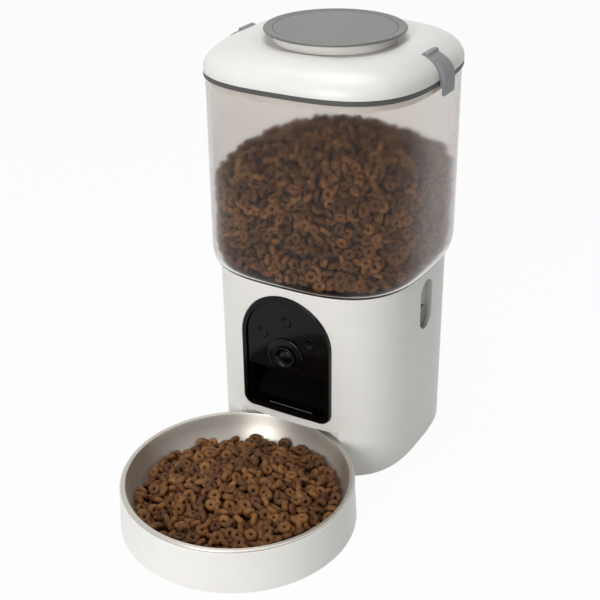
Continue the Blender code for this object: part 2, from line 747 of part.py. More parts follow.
def cut_side_recesses(shell, tower):
    outline = stadium_outline(RECESS_HALF_WIDTH, RECESS_BOTTOM_Z, RECESS_TOP_Z)
    far = shell_half(RECESS_TOP_Z) + OVERRUN
    inner = RECESS_BACK - RECESS_FLOOR - OVERRUN
    for side, name, turn in ((-1, "left", TO_LEFT), (1, "right", TO_RIGHT)):
        low, high = sorted((side * RECESS_BACK, side * far))
        recess = plate(f"side_recess_{name}", outline, low, high, "side", None, tower)
        boolean(shell, recess)
        radius = RELEASE_RADIUS + GAP
        bore = rod(f"release_bore_{name}", radius, inner, far, None, tower, (0, 0, RELEASE_Z), turn)
        boolean(shell, bore)


def cut_back_openings(shell, tower):
    start, end = BACK_WALL - OVERRUN, SHELL_TOP_HALF + OVERRUN
    middle = (GRILLE_SLOTS - 1) / 2
    for slot in range(GRILLE_SLOTS):
        z = SPEAKER_Z + (slot - middle) * GRILLE_PITCH
        low = (-GRILLE_HALF_LENGTH, start, z - GRILLE_SLOT_WIDTH / 2)
        high = (GRILLE_HALF_LENGTH, end, z + GRILLE_SLOT_WIDTH / 2)
        boolean(shell, box(f"grille_slot_{slot + 1}", low, high, None, tower))
    radius = SOCKET_NOSE_RADIUS + GAP
    hole = rod("socket_hole", radius, start - OVERRUN, end, None, tower, (SOCKET_X, 0, SOCKET_Z), TO_BACK)
    boolean(shell, hole)


def bowl_dock(tower):
    """The wall and roof that close the base behind the bowl."""
    outer = DOCK_RADIUS + DOCK_WALL
    roof = DOCK_HEIGHT + GAP
    top = roof + DOCK_WALL
    dock = rod("bowl_dock", outer, COVER_Z, top, "white_plastic", tower, BOWL_CENTRE, steps=BOWL_STEPS)
    hollow = rod("dock_hollow", DOCK_RADIUS, -OVERRUN, roof, None, tower, BOWL_CENTRE, steps=BOWL_STEPS)
    boolean(dock, hollow)
    fit_low = shell_half(0) - SHELL_WALL - GAP
    fit_high = shell_half(2 * DOCK_HEIGHT) - SHELL_WALL - GAP
    rings = [(fit_high, 2 * DOCK_HEIGHT, SECTION_POWER), (fit_low, -OVERRUN, SECTION_POWER)]
    boolean(dock, loft("dock_fit", rings, None, tower), "INTERSECT")


def tray_sizes():
    """Half width, front and rear, and the inner top of the battery tray's hollow."""
    half = CELL_PITCH * (CELL_COUNT - 1) / 2 + CELL_RADIUS + GAP
    reach = CELL_LENGTH / 2 + CELL_NUB_HEIGHT / 2 + GAP
    return half, TRAY_CENTRE_Y - reach, TRAY_CENTRE_Y + reach, CELL_Z + CELL_RADIUS + GAP


def bottom_cover(tower):
    half = SHELL_BOTTOM_HALF - SHELL_WALL - GAP
    rings = [(half, COVER_TOP_Z, SECTION_POWER), (half, COVER_Z, SECTION_POWER)]
    cover = loft("bottom_cover", rings, "white_plastic", tower)
    radius = DOCK_RADIUS + DOCK_WALL + GAP
    low, high = COVER_Z - OVERRUN, COVER_TOP_Z + OVERRUN
    boolean(cover, rod("cover_dock_cut", radius, low, high, None, tower, BOWL_CENTRE, steps=BOWL_STEPS))
    inner, front, rear, _ = tray_sizes()
    boolean(cover, box("cell_opening", (-inner, front, low), (inner, rear, high), None, tower))
    door_half = inner + DOOR_MARGIN + GAP
    door_top = COVER_Z + DOOR_THICKNESS + GAP
    recess_low = (-door_half, front - DOOR_MARGIN - GAP, low)
    recess_high = (door_half, rear + DOOR_MARGIN + GAP + DOOR_TRAVEL, door_top)
    boolean(cover, box("door_recess", recess_low, recess_high, None, tower))
    pocket_top = COVER_Z + FOOT_POCKET
    for number, (x, y) in enumerate(foot_places(), 1):
        pocket = rod(f"foot_pocket_{number}", FOOT_RADIUS + GAP, low, pocket_top, None, tower, (x, y, 0))
        boolean(cover, pocket)
    head_top = COVER_Z + SCREW_HEAD_SINK + SCREW_HEAD_HEIGHT + GAP
    for number, (x, y) in enumerate(cover_screw_places(), 1):
        head, shank = SCREW_HEAD_RADIUS + GAP, SCREW_SHANK_RADIUS + GAP
        profile = ((0, high), (shank, high), (shank, head_top), (head, head_top), (head, low), (0, low))
        boolean(cover, turned(f"screw_hole_{number}", profile, None, tower, (x, y, 0), steps=SMALL_STEPS))


def foot_places():
    return [(x, y) for x in (-FOOT_X, FOOT_X) for y in (-FOOT_Y, FOOT_Y)]


def feet(tower):
    names = ("foot_front_left", "foot_rear_left", "foot_front_right", "foot_rear_right")
    top = COVER_Z + FOOT_POCKET - GAP
    for name, (x, y) in zip(names, foot_places()):
        edge = FOOT_POCKET / 2
        profile = ((0, top), (FOOT_RADIUS, top), (FOOT_RADIUS, edge), (FOOT_RADIUS - edge, 0), (0, 0))
        turned(name, profile, "rubber", tower, (x, y, 0))


def cover_screws(tower):
    low = COVER_Z + SCREW_HEAD_SINK
    head_top = low + SCREW_HEAD_HEIGHT
    tip = low + SCREW_LENGTH
    shank, head = SCREW_SHANK_RADIUS, SCREW_HEAD_RADIUS
    profile = [(0, tip), (shank / 2, tip), (shank, tip - shank), (shank, head_top)]
    profile += [(head, head_top), (head, low), (0, low)]
    for number, (x, y) in enumerate(cover_screw_places(), 1):
        turned(f"cover_screw_{number}", profile, "bright_steel", tower, (x, y, 0), steps=SMALL_STEPS)


def battery_bay(tower):
    inner, front, rear, top = tray_sizes()
    low = COVER_TOP_Z + GAP
    tray_low = (-inner - TRAY_WALL, front - TRAY_WALL, low)
    tray_high = (inner + TRAY_WALL, rear + TRAY_WALL, top + TRAY_WALL)
    tray = box("battery_tray", tray_low, tray_high, "natural_plastic", tower)
    boolean(tray, box("tray_hollow", (-inner, front, low - OVERRUN), (inner, rear, top), None, tower))
    start = TRAY_CENTRE_Y - (CELL_LENGTH + CELL_NUB_HEIGHT) / 2
    end = start + CELL_LENGTH
    for number in range(CELL_COUNT):
        x = (number - (CELL_COUNT - 1) / 2) * CELL_PITCH
        nub = end + CELL_NUB_HEIGHT
        profile = [(0, nub), (CELL_NUB_RADIUS, nub), (CELL_NUB_RADIUS, end)]
        profile += [(CELL_RADIUS, end), (CELL_RADIUS, start), (0, start)]
        turned(f"battery_cell_{number + 1}", profile, "cell_wrap", tower, (x, 0, CELL_Z), TO_BACK)
    slide = frame("battery_door_slide", (0, TRAY_CENTRE_Y, COVER_Z), tower)
    reach = inner + DOOR_MARGIN
    depth = rear - TRAY_CENTRE_Y + DOOR_MARGIN
    door = box("battery_door", (-reach, -depth, 0), (reach, depth, DOOR_THICKNESS), "white_plastic", slide)
    return door


def panel_bezel(tower):
    outer = arch_outline(PANEL_HALF, PANEL_BOTTOM_Z, PANEL_SPRING_Z, PANEL_CORNER)
    bezel = plate("panel_bezel", outer, PANEL_BACK, PANEL_FRONT, "front", "gloss_black", tower)
    round_edges(bezel, PANEL_EDGE_RADIUS)
    wide, corner = PANEL_HALF + FLANGE_WIDTH, PANEL_CORNER + FLANGE_WIDTH
    around = arch_outline(wide, PANEL_BOTTOM_Z - FLANGE_WIDTH, PANEL_SPRING_Z, corner)
    flange = plate("bezel_flange", around, PANEL_BACK - GAP / 2, FLANGE_FRONT, "front", None, tower)
    boolean(bezel, flange, "UNION")
    back, front = PANEL_BACK - OVERRUN, PANEL_FRONT + OVERRUN
    inner = PANEL_HALF - PANEL_RIM
    pocket_outline = arch_outline(inner, MOUTH_BOTTOM_Z, PANEL_SPRING_Z, MOUTH_CORNER)
    boolean(bezel, plate("face_pocket", pocket_outline, LEDGE_FRONT, front, "front", None, tower))
    mouth = rounded_outline(-MOUTH_HALF, MOUTH_HALF, MOUTH_BOTTOM_Z, MOUTH_TOP_Z, MOUTH_CORNER)
    boolean(bezel, plate("mouth_opening", mouth, back, front, "front", None, tower))
    opening = inner - LEDGE_WIDTH
    low = MOUTH_TOP_Z + CROSSBAR_HEIGHT
    upper = arch_outline(opening, low, PANEL_SPRING_Z, MOUTH_CORNER)
    boolean(bezel, plate("upper_opening", upper, back, front, "front", None, tower))


def button_places():
    return (
        ("button_left", -SIDE_BUTTON_X, SIDE_BUTTON_Z),
        ("button_top", 0, TOP_BUTTON_Z),
        ("button_right", SIDE_BUTTON_X, SIDE_BUTTON_Z),
    )


def panel_face(tower):
    half = PANEL_HALF - PANEL_RIM - GAP
    outline = arch_outline(half, MOUTH_TOP_Z + GAP, PANEL_SPRING_Z, MOUTH_CORNER)
    face = plate("panel_face", outline, FACE_BACK, FACE_FRONT, "front", "gloss_black", tower)
    low, high = FACE_BACK - OVERRUN, FACE_FRONT + OVERRUN
    for name, x, z in button_places():
        hole = rod(f"{name}_hole", BUTTON_RADIUS + GAP, low, high, None, tower, (x, 0, z), TO_FRONT)
        boolean(face, hole)
    radius, place = LIGHT_RADIUS + GAP, (0, 0, LIGHT_Z)
    boolean(face, rod("light_hole", radius, low, high, None, tower, place, TO_FRONT, SMALL_STEPS))
    boolean(face, rod("barrel_hole", BARREL_RADIUS + GAP, low, high, None, tower, (0, 0, CAMERA_Z), TO_FRONT))


def camera(tower):
    place = (0, 0, CAMERA_Z)
    back = FACE_FRONT + GAP
    bore = BARREL_RADIUS + GAP
    front = back + RING_PROUD
    profile = [(bore, front)]
    for out, down in RING_SHARES:
        profile.append((RING_RADIUS - RING_BEVEL * (1 - out), front - (RING_PROUD - GAP) * down * down))
    profile += [(RING_RADIUS, back), (bore, back)]
    turned("camera_ring", profile, "gloss_black", tower, place, TO_FRONT, loop=True)
    front = FACE_FRONT + BARREL_PROUD
    back = front - BARREL_LENGTH
    seat = front - LENS_SINK
    well = LENS_RADIUS + GAP
    floor = seat - LENS_THICKNESS
    profile = [(0, floor), (well, floor), (well, seat), (BARREL_RADIUS - BARREL_RIM, front)]
    profile += [(BARREL_RADIUS, front), (BARREL_RADIUS, back), (0, back)]
    turned("camera_barrel", profile, "gloss_black", tower, place, TO_FRONT)
    dome = [(LENS_RADIUS * math.sin(step * math.pi / 8), math.cos(step * math.pi / 8)) for step in range(4)]
    profile = [(radius, seat + LENS_DOME * height) for radius, height in dome]
    profile += [(LENS_RADIUS, seat), (LENS_RADIUS, floor + GAP), (0, floor + GAP)]
    turned("lens_glass", profile, "lens_glass", tower, place, TO_FRONT)
    high = -(back - GAP) + BOARD_THICKNESS
    low_corner = (-CAMERA_BOARD_HALF, -(back - GAP), CAMERA_Z - CAMERA_BOARD_BOTTOM)
    high_corner = (CAMERA_BOARD_HALF, high, CAMERA_Z + CAMERA_BOARD_TOP)
    box("camera_board", low_corner, high_corner, "green_board", tower)


def front_buttons(tower):
    front = FACE_FRONT + BUTTON_PROUD
    shoulder = FACE_BACK - GAP
    back = shoulder - BUTTON_FLANGE_THICKNESS
    wide = BUTTON_RADIUS + BUTTON_FLANGE
    for name, x, z in button_places():
        slide = frame(f"{name}_slide", (x, 0, z), tower)
        profile = [(0, front), (BUTTON_RADIUS - BUTTON_EDGE, front), (BUTTON_RADIUS, front - BUTTON_EDGE)]
        profile += [(BUTTON_RADIUS, shoulder), (wide, shoulder), (wide, back), (0, back)]
        turned(name, profile, "gloss_black", slide, turn=TO_FRONT)
    light_back = FACE_FRONT - LIGHT_LENGTH
    profile = ((0, FACE_FRONT), (LIGHT_RADIUS, FACE_FRONT), (LIGHT_RADIUS, light_back), (0, light_back))
    turned("status_light", profile, "pale_silicone", tower, (0, 0, LIGHT_Z), TO_FRONT, SMALL_STEPS)
    mat_front = min(back - BUTTON_TRAVEL, light_back) - GAP
    half = PANEL_HALF - PANEL_RIM - LEDGE_WIDTH - GAP
    outline = arch_outline(half, MAT_BOTTOM_Z, PANEL_SPRING_Z, GAP)
    plate("button_mat", outline, mat_front - MAT_THICKNESS, mat_front, "front", "pale_silicone", tower)
    board_back = min(mat_front - MAT_THICKNESS, PANEL_BACK) - GAP
    low = (-BUTTON_BOARD_HALF, -board_back, MAT_BOTTOM_Z)
    high = (BUTTON_BOARD_HALF, -board_back + BOARD_THICKNESS, MAT_BOTTOM_Z + BUTTON_BOARD_HEIGHT)
    box("button_board", low, high, "green_board", tower)


def release_buttons(tower):
    front = RECESS_BACK + RELEASE_PROUD
    shoulder = RECESS_BACK - RECESS_FLOOR - GAP
    back = shoulder - RELEASE_FLANGE_THICKNESS
    wide = RELEASE_RADIUS + RELEASE_FLANGE
    profile = [(0, front), (RELEASE_RADIUS - RELEASE_EDGE, front), (RELEASE_RADIUS, front - RELEASE_EDGE)]
    profile += [(RELEASE_RADIUS, shoulder), (wide, shoulder), (wide, back), (0, back)]
    for name, turn in (("release_button_left", TO_LEFT), ("release_button_right", TO_RIGHT)):
        slide = frame(f"{name}_slide", (0, 0, RELEASE_Z), tower)
        turned(name, profile, "grey_plastic", slide, turn=turn)


def funnel_slope():
    """Where the hopper's outer funnel starts and ends, as (half width, height)."""
    wide = (HOPPER_BOTTOM_HALF - HOPPER_LEDGE, HOPPER_BOTTOM_Z)
    narrow = (NECK_RADIUS, NECK_BOTTOM_Z + NECK_LENGTH)
    return wide, narrow


def hopper_deck(tower):
    """The dished floor of the base's top, which carries the hopper and takes its neck."""
    wide, narrow = funnel_slope()
    outer = SHELL_TOP_HALF - SHELL_WALL - GAP
    top = HOPPER_BOTTOM_Z - GAP
    tray = NECK_RADIUS + RUN_GAP
    rim_inner = wide[0] + RUN_GAP
    drop = 2 * RUN_GAP
    rings = [(tray, DECK_FLOOR_Z, ROUND_POWER), (tray, narrow[1] - drop, ROUND_POWER)]
    rings += [(wide[0], top - drop, SECTION_POWER), (rim_inner, top, SECTION_POWER)]
    rings += [(outer, top, SECTION_POWER), (outer, top - DECK_RIM_THICKNESS, SECTION_POWER)]
    rings.append((wide[0] - RUN_GAP, top - drop - DECK_WALL, SECTION_POWER))
    rings.append((tray + DECK_WALL, narrow[1] - drop - DECK_WALL / 2, ROUND_POWER))
    rings.append((tray + DECK_WALL, DECK_UNDER_Z, ROUND_POWER))
    deck = loft("hopper_deck", rings, "white_plastic", tower)
    cut_outlet(deck, tower, DECK_UNDER_Z, DECK_FLOOR_Z, "deck")


def cut_outlet(obj, parent, low, high, name):
    """The hole for the food, and the one for the drive shaft."""
    inner = OUTLET_INNER_RADIUS
    outline = sector_outline(inner, NECK_INNER_RADIUS - OUTLET_RIM, OUTLET_HALF_ANGLE)
    hole = plate(f"{name}_outlet", outline, low - OVERRUN, high + OVERRUN / 2, "top", None, parent)
    boolean(obj, hole)
    radius = HUB_BORE_RADIUS + GAP
    boolean(obj, rod(f"{name}_shaft_hole", radius, low - OVERRUN, high + OVERRUN / 2, None, parent))


def chute_flow():
    """The food's way from the deck's outlet to the mouth, as (y, z) points, anticlockwise from +X."""
    mouth = CHUTE_WALL + GAP - PANEL_BACK
    top = DECK_UNDER_Z - GAP - CHUTE_WALL
    return [
        (mouth, MOUTH_BOTTOM_Z),
        (-CHUTE_INLET_REAR, top - CHUTE_BACK_DROP),
        (-CHUTE_INLET_REAR, top),
        (-CHUTE_INLET_FRONT, top),
        (-CHUTE_INLET_FRONT, top - CHUTE_THROAT_DROP),
        (-CHUTE_KNEE_FRONT, MOUTH_TOP_Z + CHUTE_KNEE_RISE),
        (mouth, MOUTH_TOP_Z),
    ]


def chute(tower):
    flow = chute_flow()
    outer = grown_outline(flow, CHUTE_WALL)
    half = CHUTE_HALF + CHUTE_WALL
    body = plate("chute", outer, -half, half, "side", "satin_black", tower)
    opened = list(flow)
    for index, (along, up) in ((0, (-1, 0)), (2, (0, 1)), (3, (0, 1)), (6, (-1, 0))):
        y, z = opened[index]
        opened[index] = (y + along * OVERRUN, z + up * OVERRUN)
    boolean(body, plate("chute_flow", opened, -CHUTE_HALF, CHUTE_HALF, "side", None, tower))


def drive(tower):
    low = BRACKET_Z
    top = low + BRACKET_THICKNESS
    corner_low = (-BRACKET_HALF, -BRACKET_FRONT, low)
    corner_high = (BRACKET_HALF, BRACKET_REAR, top)
    bracket = box("drive_bracket", corner_low, corner_high, "natural_plastic", tower)
    corners = [(x, y, 0) for x in (-POST_X, POST_X) for y in (-POST_FRONT, POST_REAR)]
    post_top = DECK_UNDER_Z - GAP
    for number, corner in enumerate(corners, 1):
        name = f"bracket_post_{number}"
        post = rod(name, POST_RADIUS, low + GAP, post_top, None, tower, corner, steps=SMALL_STEPS)
        boolean(bracket, post, "UNION")
    under, over = low - OVERRUN, top + OVERRUN / 2
    boolean(bracket, rod("shaft_bearing", SHAFT_RADIUS + GAP, under, over, None, tower))
    radius, place = PINION_SHAFT_RADIUS + GAP, (0, PINION_Y, 0)
    boolean(bracket, rod("pinion_hole", radius, under, over, None, tower, place, steps=SMALL_STEPS))
    motor_top = low - GAP
    edge = MOTOR_RADIUS - MOTOR_EDGE
    bottom = motor_top - MOTOR_LENGTH
    profile = [(0, motor_top), (edge, motor_top), (MOTOR_RADIUS, motor_top - MOTOR_EDGE)]
    profile += [(MOTOR_RADIUS, bottom + MOTOR_EDGE), (edge, bottom), (0, bottom)]
    turned("gear_motor", profile, "bright_steel", tower, (0, PINION_Y, 0))
    drive_gear(tower)
    motor_pinion(tower)


def drive_gear(tower):
    axis = frame("drive_axis", (0, 0, 0), tower)
    outline = gear_outline(GEAR_TEETH, math.pi / 2)
    gear = plate("drive_gear", outline, GEAR_Z, GEAR_Z + GEAR_THICKNESS, "top", "natural_plastic", axis)
    middle = GEAR_Z + GEAR_THICKNESS / 2
    top = ROTOR_Z + HEX_REACH
    stem = rod("shaft_stem", SHAFT_RADIUS, BRACKET_Z - GAP, DECK_UNDER_Z - GAP, None, axis)
    boolean(gear, stem, "UNION")
    head = plate("shaft_head", hexagon_outline(HEX_FLATS), middle, top - RUN_GAP, "top", None, axis)
    boolean(gear, head, "UNION")


def motor_pinion(tower):
    axis = frame("motor_axis", (0, PINION_Y, 0), tower)
    gap_angle = -math.pi / 2 + math.pi / PINION_TEETH
    outline = gear_outline(PINION_TEETH, gap_angle)
    pinion = plate("motor_pinion", outline, GEAR_Z, GEAR_Z + GEAR_THICKNESS, "top", "bright_steel", axis)
    middle = GEAR_Z + GEAR_THICKNESS / 2
    stem = rod("pinion_stem", PINION_SHAFT_RADIUS, BRACKET_Z + GAP, middle, None, axis, steps=SMALL_STEPS)
    boolean(pinion, stem, "UNION")


def electronics(tower):
    low = (-MAIN_BOARD_HALF, MAIN_BOARD_Y, MAIN_BOARD_BOTTOM_Z)
    high = (MAIN_BOARD_HALF, MAIN_BOARD_Y + BOARD_THICKNESS, MAIN_BOARD_BOTTOM_Z + MAIN_BOARD_HEIGHT)
    box("main_board", low, high, "green_board", tower)
    left = -MAIN_BOARD_HALF + RADIO_INSET
    bottom = MAIN_BOARD_BOTTOM_Z + RADIO_INSET
    near = MAIN_BOARD_Y - GAP - RADIO_THICKNESS
    corner = (left + RADIO_WIDTH, MAIN_BOARD_Y - GAP, bottom + RADIO_HEIGHT)
    box("radio_module", (left, near, bottom), corner, "bright_steel", tower)
    face = BACK_WALL - SPEAKER_SEAT
    rear = face - SPEAKER_DEPTH
    step = (face + rear) / 2
    profile = [(0, face), (SPEAKER_RADIUS, face), (SPEAKER_RADIUS, step), (SPEAKER_MAGNET_RADIUS, step)]
    profile += [(SPEAKER_MAGNET_RADIUS, rear), (0, rear)]
    turned("speaker", profile, "satin_black", tower, (0, 0, SPEAKER_Z), TO_BACK)
    nose = section_reach(shell_half(SOCKET_Z), SOCKET_X) + SOCKET_SINK
    shoulder = section_reach(shell_half(SOCKET_Z) - SHELL_WALL, SOCKET_X + SOCKET_BODY_RADIUS) - GAP
    end = shoulder - SOCKET_BODY_DEPTH
    floor = nose - SOCKET_BORE_DEPTH
    tip = floor + SOCKET_PIN_LENGTH
    profile = [(0, tip), (SOCKET_PIN_RADIUS, tip), (SOCKET_PIN_RADIUS, floor), (SOCKET_BORE_RADIUS, floor)]
    profile += [(SOCKET_BORE_RADIUS, nose), (SOCKET_NOSE_RADIUS, nose), (SOCKET_NOSE_RADIUS, shoulder)]
    profile += [(SOCKET_BODY_RADIUS, shoulder), (SOCKET_BODY_RADIUS, end), (0, end)]
    turned("power_socket", profile, "satin_black", tower, (SOCKET_X, 0, SOCKET_Z), TO_BACK)


def hopper_rings():
    """Up the inside from the neck's floor, over the rim, and down the outside."""
    wide, narrow = funnel_slope()
    belly = HOPPER_BELLY_HALF - HOPPER_BOTTOM_HALF
    outside = [(HOPPER_TOP_HALF, HOPPER_TOP_Z, SECTION_POWER)]
    curve = []
    for out, up in BELLY_SHARES:
        half, z = HOPPER_BOTTOM_HALF + belly * out, HOPPER_BOTTOM_Z + HOPPER_BELLY_RISE * up
        curve.append((half, z, SECTION_POWER))
    outside += curve[::-1]
    outside += [(wide[0], wide[1], SECTION_POWER), (narrow[0], narrow[1], ROUND_POWER)]
    outside.append((NECK_RADIUS, NECK_BOTTOM_Z, ROUND_POWER))
    floor = wide[1] + HOPPER_WALL + HOPPER_LEDGE_RISE
    inside = [(NECK_INNER_RADIUS, NECK_FLOOR_Z, ROUND_POWER)]
    inside.append((NECK_INNER_RADIUS, narrow[1] + HOPPER_WALL / 2, ROUND_POWER))
    inside.append((wide[0] - HOPPER_WALL / 2, floor, SECTION_POWER))
    for half, z, power in curve[1:]:
        inside.append((half - HOPPER_WALL, max(z, floor) + HOPPER_LEDGE_RISE, power))
    inside.append((HOPPER_TOP_HALF - HOPPER_WALL, HOPPER_TOP_Z, SECTION_POWER))
    return inside + outside


def hopper(lift):
    body = loft("hopper", hopper_rings(), "smoky_plastic", lift)
    cut_outlet(body, lift, NECK_BOTTOM_Z, NECK_FLOOR_Z, "hopper")
    inner = BAND_HALF - BAND_WIDTH
    top = BAND_BOTTOM_Z + BAND_HEIGHT
    rings = [(BAND_HALF, top), (BAND_HALF, BAND_BOTTOM_Z), (inner, BAND_BOTTOM_Z), (inner, top)]
    loft("rim_band", [(half, z, SECTION_POWER) for half, z in rings], "dark_silicone", lift, loop=True)
    low = ROTOR_Z + ROTOR_HEIGHT + SHIELD_RISE
    outline = sector_outline(ROTOR_HUB_RADIUS + 2 * RUN_GAP, NECK_INNER_RADIUS - GAP, SHIELD_HALF_ANGLE)
    plate("portion_shield", outline, low, low + SHIELD_THICKNESS, "top", "natural_plastic", lift)


def dispensing_rotor(lift):
    axis = frame("rotor_axis", (0, 0, 0), lift)
    low, top = ROTOR_Z, ROTOR_Z + ROTOR_HEIGHT
    hub_top = top + SHIELD_RISE + SHIELD_THICKNESS + RUN_GAP
    wheel = rod("dispensing_rotor", ROTOR_HUB_RADIUS, low, hub_top, "pale_silicone", axis)
    inner = ROTOR_HUB_RADIUS - ROTOR_VANE / 2
    for number in range(ROTOR_VANES):
        turn = (0, 0, math.pi / 6 + 2 * math.pi * number / ROTOR_VANES)
        corner = (ROTOR_RADIUS, ROTOR_VANE / 2, top)
        vane = box(f"rotor_vane_{number + 1}", (inner, -ROTOR_VANE / 2, low), corner, None, axis, turn=turn)
        boolean(wheel, vane, "UNION")
    hex_outline = hexagon_outline(HEX_FLATS + 2 * HEX_GAP)
    boolean(wheel, plate("hub_bore", hex_outline, low - OVERRUN, low + HEX_REACH, "top", None, axis))
    bottom = hub_top + GAP
    arm_top = bottom + STIRRER_THICKNESS
    stirrer = rod("stirrer", ROTOR_HUB_RADIUS, bottom, arm_top, "natural_plastic", axis)
    for number in range(2):
        half = STIRRER_WIDTH / 2
        low_corner, high_corner = (-STIRRER_REACH, -half, bottom), (STIRRER_REACH, half, arm_top)
        turn = (0, 0, number * math.pi / 2)
        arm = box(f"stirrer_arm_{number + 1}", low_corner, high_corner, None, axis, turn=turn)
        boolean(stirrer, arm, "UNION")


def shoulder_point(angle, offset):
    """A point (half width, height) on the lid's shoulder, moved outwards by the offset."""
    across, up = math.cos(angle), math.sin(angle)
    length = math.hypot(SHOULDER_RISE * across, SHOULDER_RUN * up)
    x = LID_HALF - SHOULDER_RUN + SHOULDER_RUN * across + offset * SHOULDER_RISE * across / length
    z = SHOULDER_Z + SHOULDER_RISE * up + offset * SHOULDER_RUN * up / length
    return x, z


def lid_rings():
    """Over the lid from its outer edge to the neck, back along the underside, and down and up the skirt."""
    angles = [math.pi / 2 * step / SHOULDER_STEPS for step in range(SHOULDER_STEPS + 1)]
    rings = [(LID_HALF, LID_BOTTOM_Z, SECTION_POWER)]
    rings += [(*shoulder_point(angle, 0), SECTION_POWER) for angle in angles]
    rings.append((LID_DISH_RADIUS, LID_DISH_Z, ROUND_POWER))
    neck_inner = LID_NECK_RADIUS - LID_NECK_WALL
    rings += [(LID_NECK_RADIUS, LID_DISH_Z, ROUND_POWER), (LID_NECK_RADIUS, LID_NECK_Z, ROUND_POWER)]
    rings += [(neck_inner, LID_NECK_Z, ROUND_POWER), (neck_inner, LID_DISH_Z - LID_WALL, ROUND_POWER)]
    rings.append((LID_DISH_RADIUS, LID_DISH_Z - LID_WALL, ROUND_POWER))
    rings += [(*shoulder_point(angle, -LID_WALL), SECTION_POWER) for angle in angles[::-1]]
    skirt = HOPPER_TOP_HALF - HOPPER_WALL - SKIRT_GAP - BAND_WIDTH / 5
    inner = skirt - SKIRT_WALL
    rings.append((inner, SHOULDER_Z, SECTION_POWER))
    low = LID_BOTTOM_Z - SKIRT_DEPTH
    rings += [(inner, low, SECTION_POWER), (skirt, low, SECTION_POWER), (skirt, LID_BOTTOM_Z, SECTION_POWER)]
    return rings


PIN_DEPTH = PIN_RADIUS + GAP + PIN_COVER
BARREL_END_RADIUS = PIN_DEPTH + LATCH_TOP_PROUD


def latch_pivot():
    """The pin's place in the right latch, just inside the lid's surface."""
    return shoulder_point(LATCH_PIVOT_ANGLE, -PIN_DEPTH)


def mirrored(outline):
    return [(-x, z) for x, z in outline]


def latch_normal():
    """The way that the shoulder faces at the pin."""
    across, up = math.cos(LATCH_PIVOT_ANGLE), math.sin(LATCH_PIVOT_ANGLE)
    return math.atan2(SHOULDER_RUN * up, SHOULDER_RISE * across)


def barrel_outline(reach, depth):
    """Round the pin from under the right latch's arm to its outer face."""
    start = latch_normal() + 1.5 * math.pi - math.asin((depth - PIN_DEPTH) / reach)
    return arc(latch_pivot(), reach, start, latch_normal(), 2 * ARC_STEPS)


def under_arm(reach, depth):
    """Up the shoulder's curve, as far as the barrel, at a depth in the lid."""
    points = [shoulder_point(LATCH_PIVOT_ANGLE * step / ARM_STEPS, -depth) for step in range(ARM_STEPS)]
    return [point for point in points if math.dist(point, latch_pivot()) > reach + depth]


def latch_slot():
    """The room round the right latch, seen from the front."""
    reach = BARREL_END_RADIUS + GAP
    depth = LATCH_INLAY + GAP
    outline = barrel_outline(reach, depth)
    far = LID_HALF + LATCH_PROUD + OVERRUN
    low = LID_BOTTOM_Z - BAND_HEIGHT
    outline.append(shoulder_point(LATCH_PIVOT_ANGLE, SHOULDER_RISE))
    outline += [(far, LID_TOP_Z + OVERRUN), (far, low), (shoulder_point(0, -depth)[0], low)]
    return outline + under_arm(reach, depth)


def latch_block():
    """The thick part of the lid that carries the right latch's pin, seen from the front."""
    x, _ = latch_pivot()
    angles = [LATCH_PIVOT_ANGLE * 1.4 * step / 6 for step in range(7)]
    outline = [shoulder_point(angle, -LID_WALL / 2) for angle in angles]
    low = SHOULDER_Z - LID_EDGE_HEIGHT / 2
    outline += [(x - BARREL_END_RADIUS - LID_WALL, low + LID_WALL), (x, low), (outline[0][0], low)]
    return outline


def lid_shell(lift):
    lid = loft("lid_shell", lid_rings(), "white_plastic", lift, loop=True)
    x, z = latch_pivot()
    block_half = LATCH_HALF_WIDTH + LATCH_BLOCK_MARGIN
    slot_half = LATCH_HALF_WIDTH + RUN_GAP
    pin_half = LATCH_HALF_WIDTH + PIN_MARGIN + GAP
    radius = PIN_RADIUS + GAP
    sides = (("left", (-x, 0, z), mirrored), ("right", (x, 0, z), list))
    for name, place, flip in sides:
        outline = flip(latch_block())
        block = plate(f"latch_block_{name}", outline, -block_half, block_half, "front", None, lift)
        boolean(lid, block, "UNION")
    for name, place, flip in sides:
        bore = rod(f"pin_bore_{name}", radius, -pin_half, pin_half, None, lift, place, TO_FRONT, SMALL_STEPS)
        boolean(lid, bore)
    for name, place, flip in sides:
        slot = flip(latch_slot())
        boolean(lid, plate(f"latch_slot_{name}", slot, -slot_half, slot_half, "front", None, lift))


def latch_outline():
    """The right latch seen from the front: round the pin, down its outside, and back up its inside."""
    outline = barrel_outline(BARREL_END_RADIUS, LATCH_INLAY)
    for step in range(1, ARM_STEPS + 1):
        share = step / ARM_STEPS
        proud = LATCH_TOP_PROUD + (LATCH_PROUD - LATCH_TOP_PROUD) * share
        outline.append(shoulder_point(LATCH_PIVOT_ANGLE * (1 - share), proud))
    outer = LID_HALF + LATCH_PROUD
    lip_end = LID_BOTTOM_Z - LATCH_LIP_DROP
    pad_end = LID_BOTTOM_Z - LATCH_PAD_DROP
    lip_inner = outer - LATCH_LIP_THICKNESS
    pad_inner = BAND_HALF + GAP
    outline += [(outer, lip_end), (lip_inner, lip_end), (lip_inner, pad_end), (pad_inner, pad_end)]
    outline += [(pad_inner, LID_BOTTOM_Z), (LID_HALF - LATCH_INLAY, LID_BOTTOM_Z)]
    return outline + under_arm(BARREL_END_RADIUS + GAP, LATCH_INLAY)


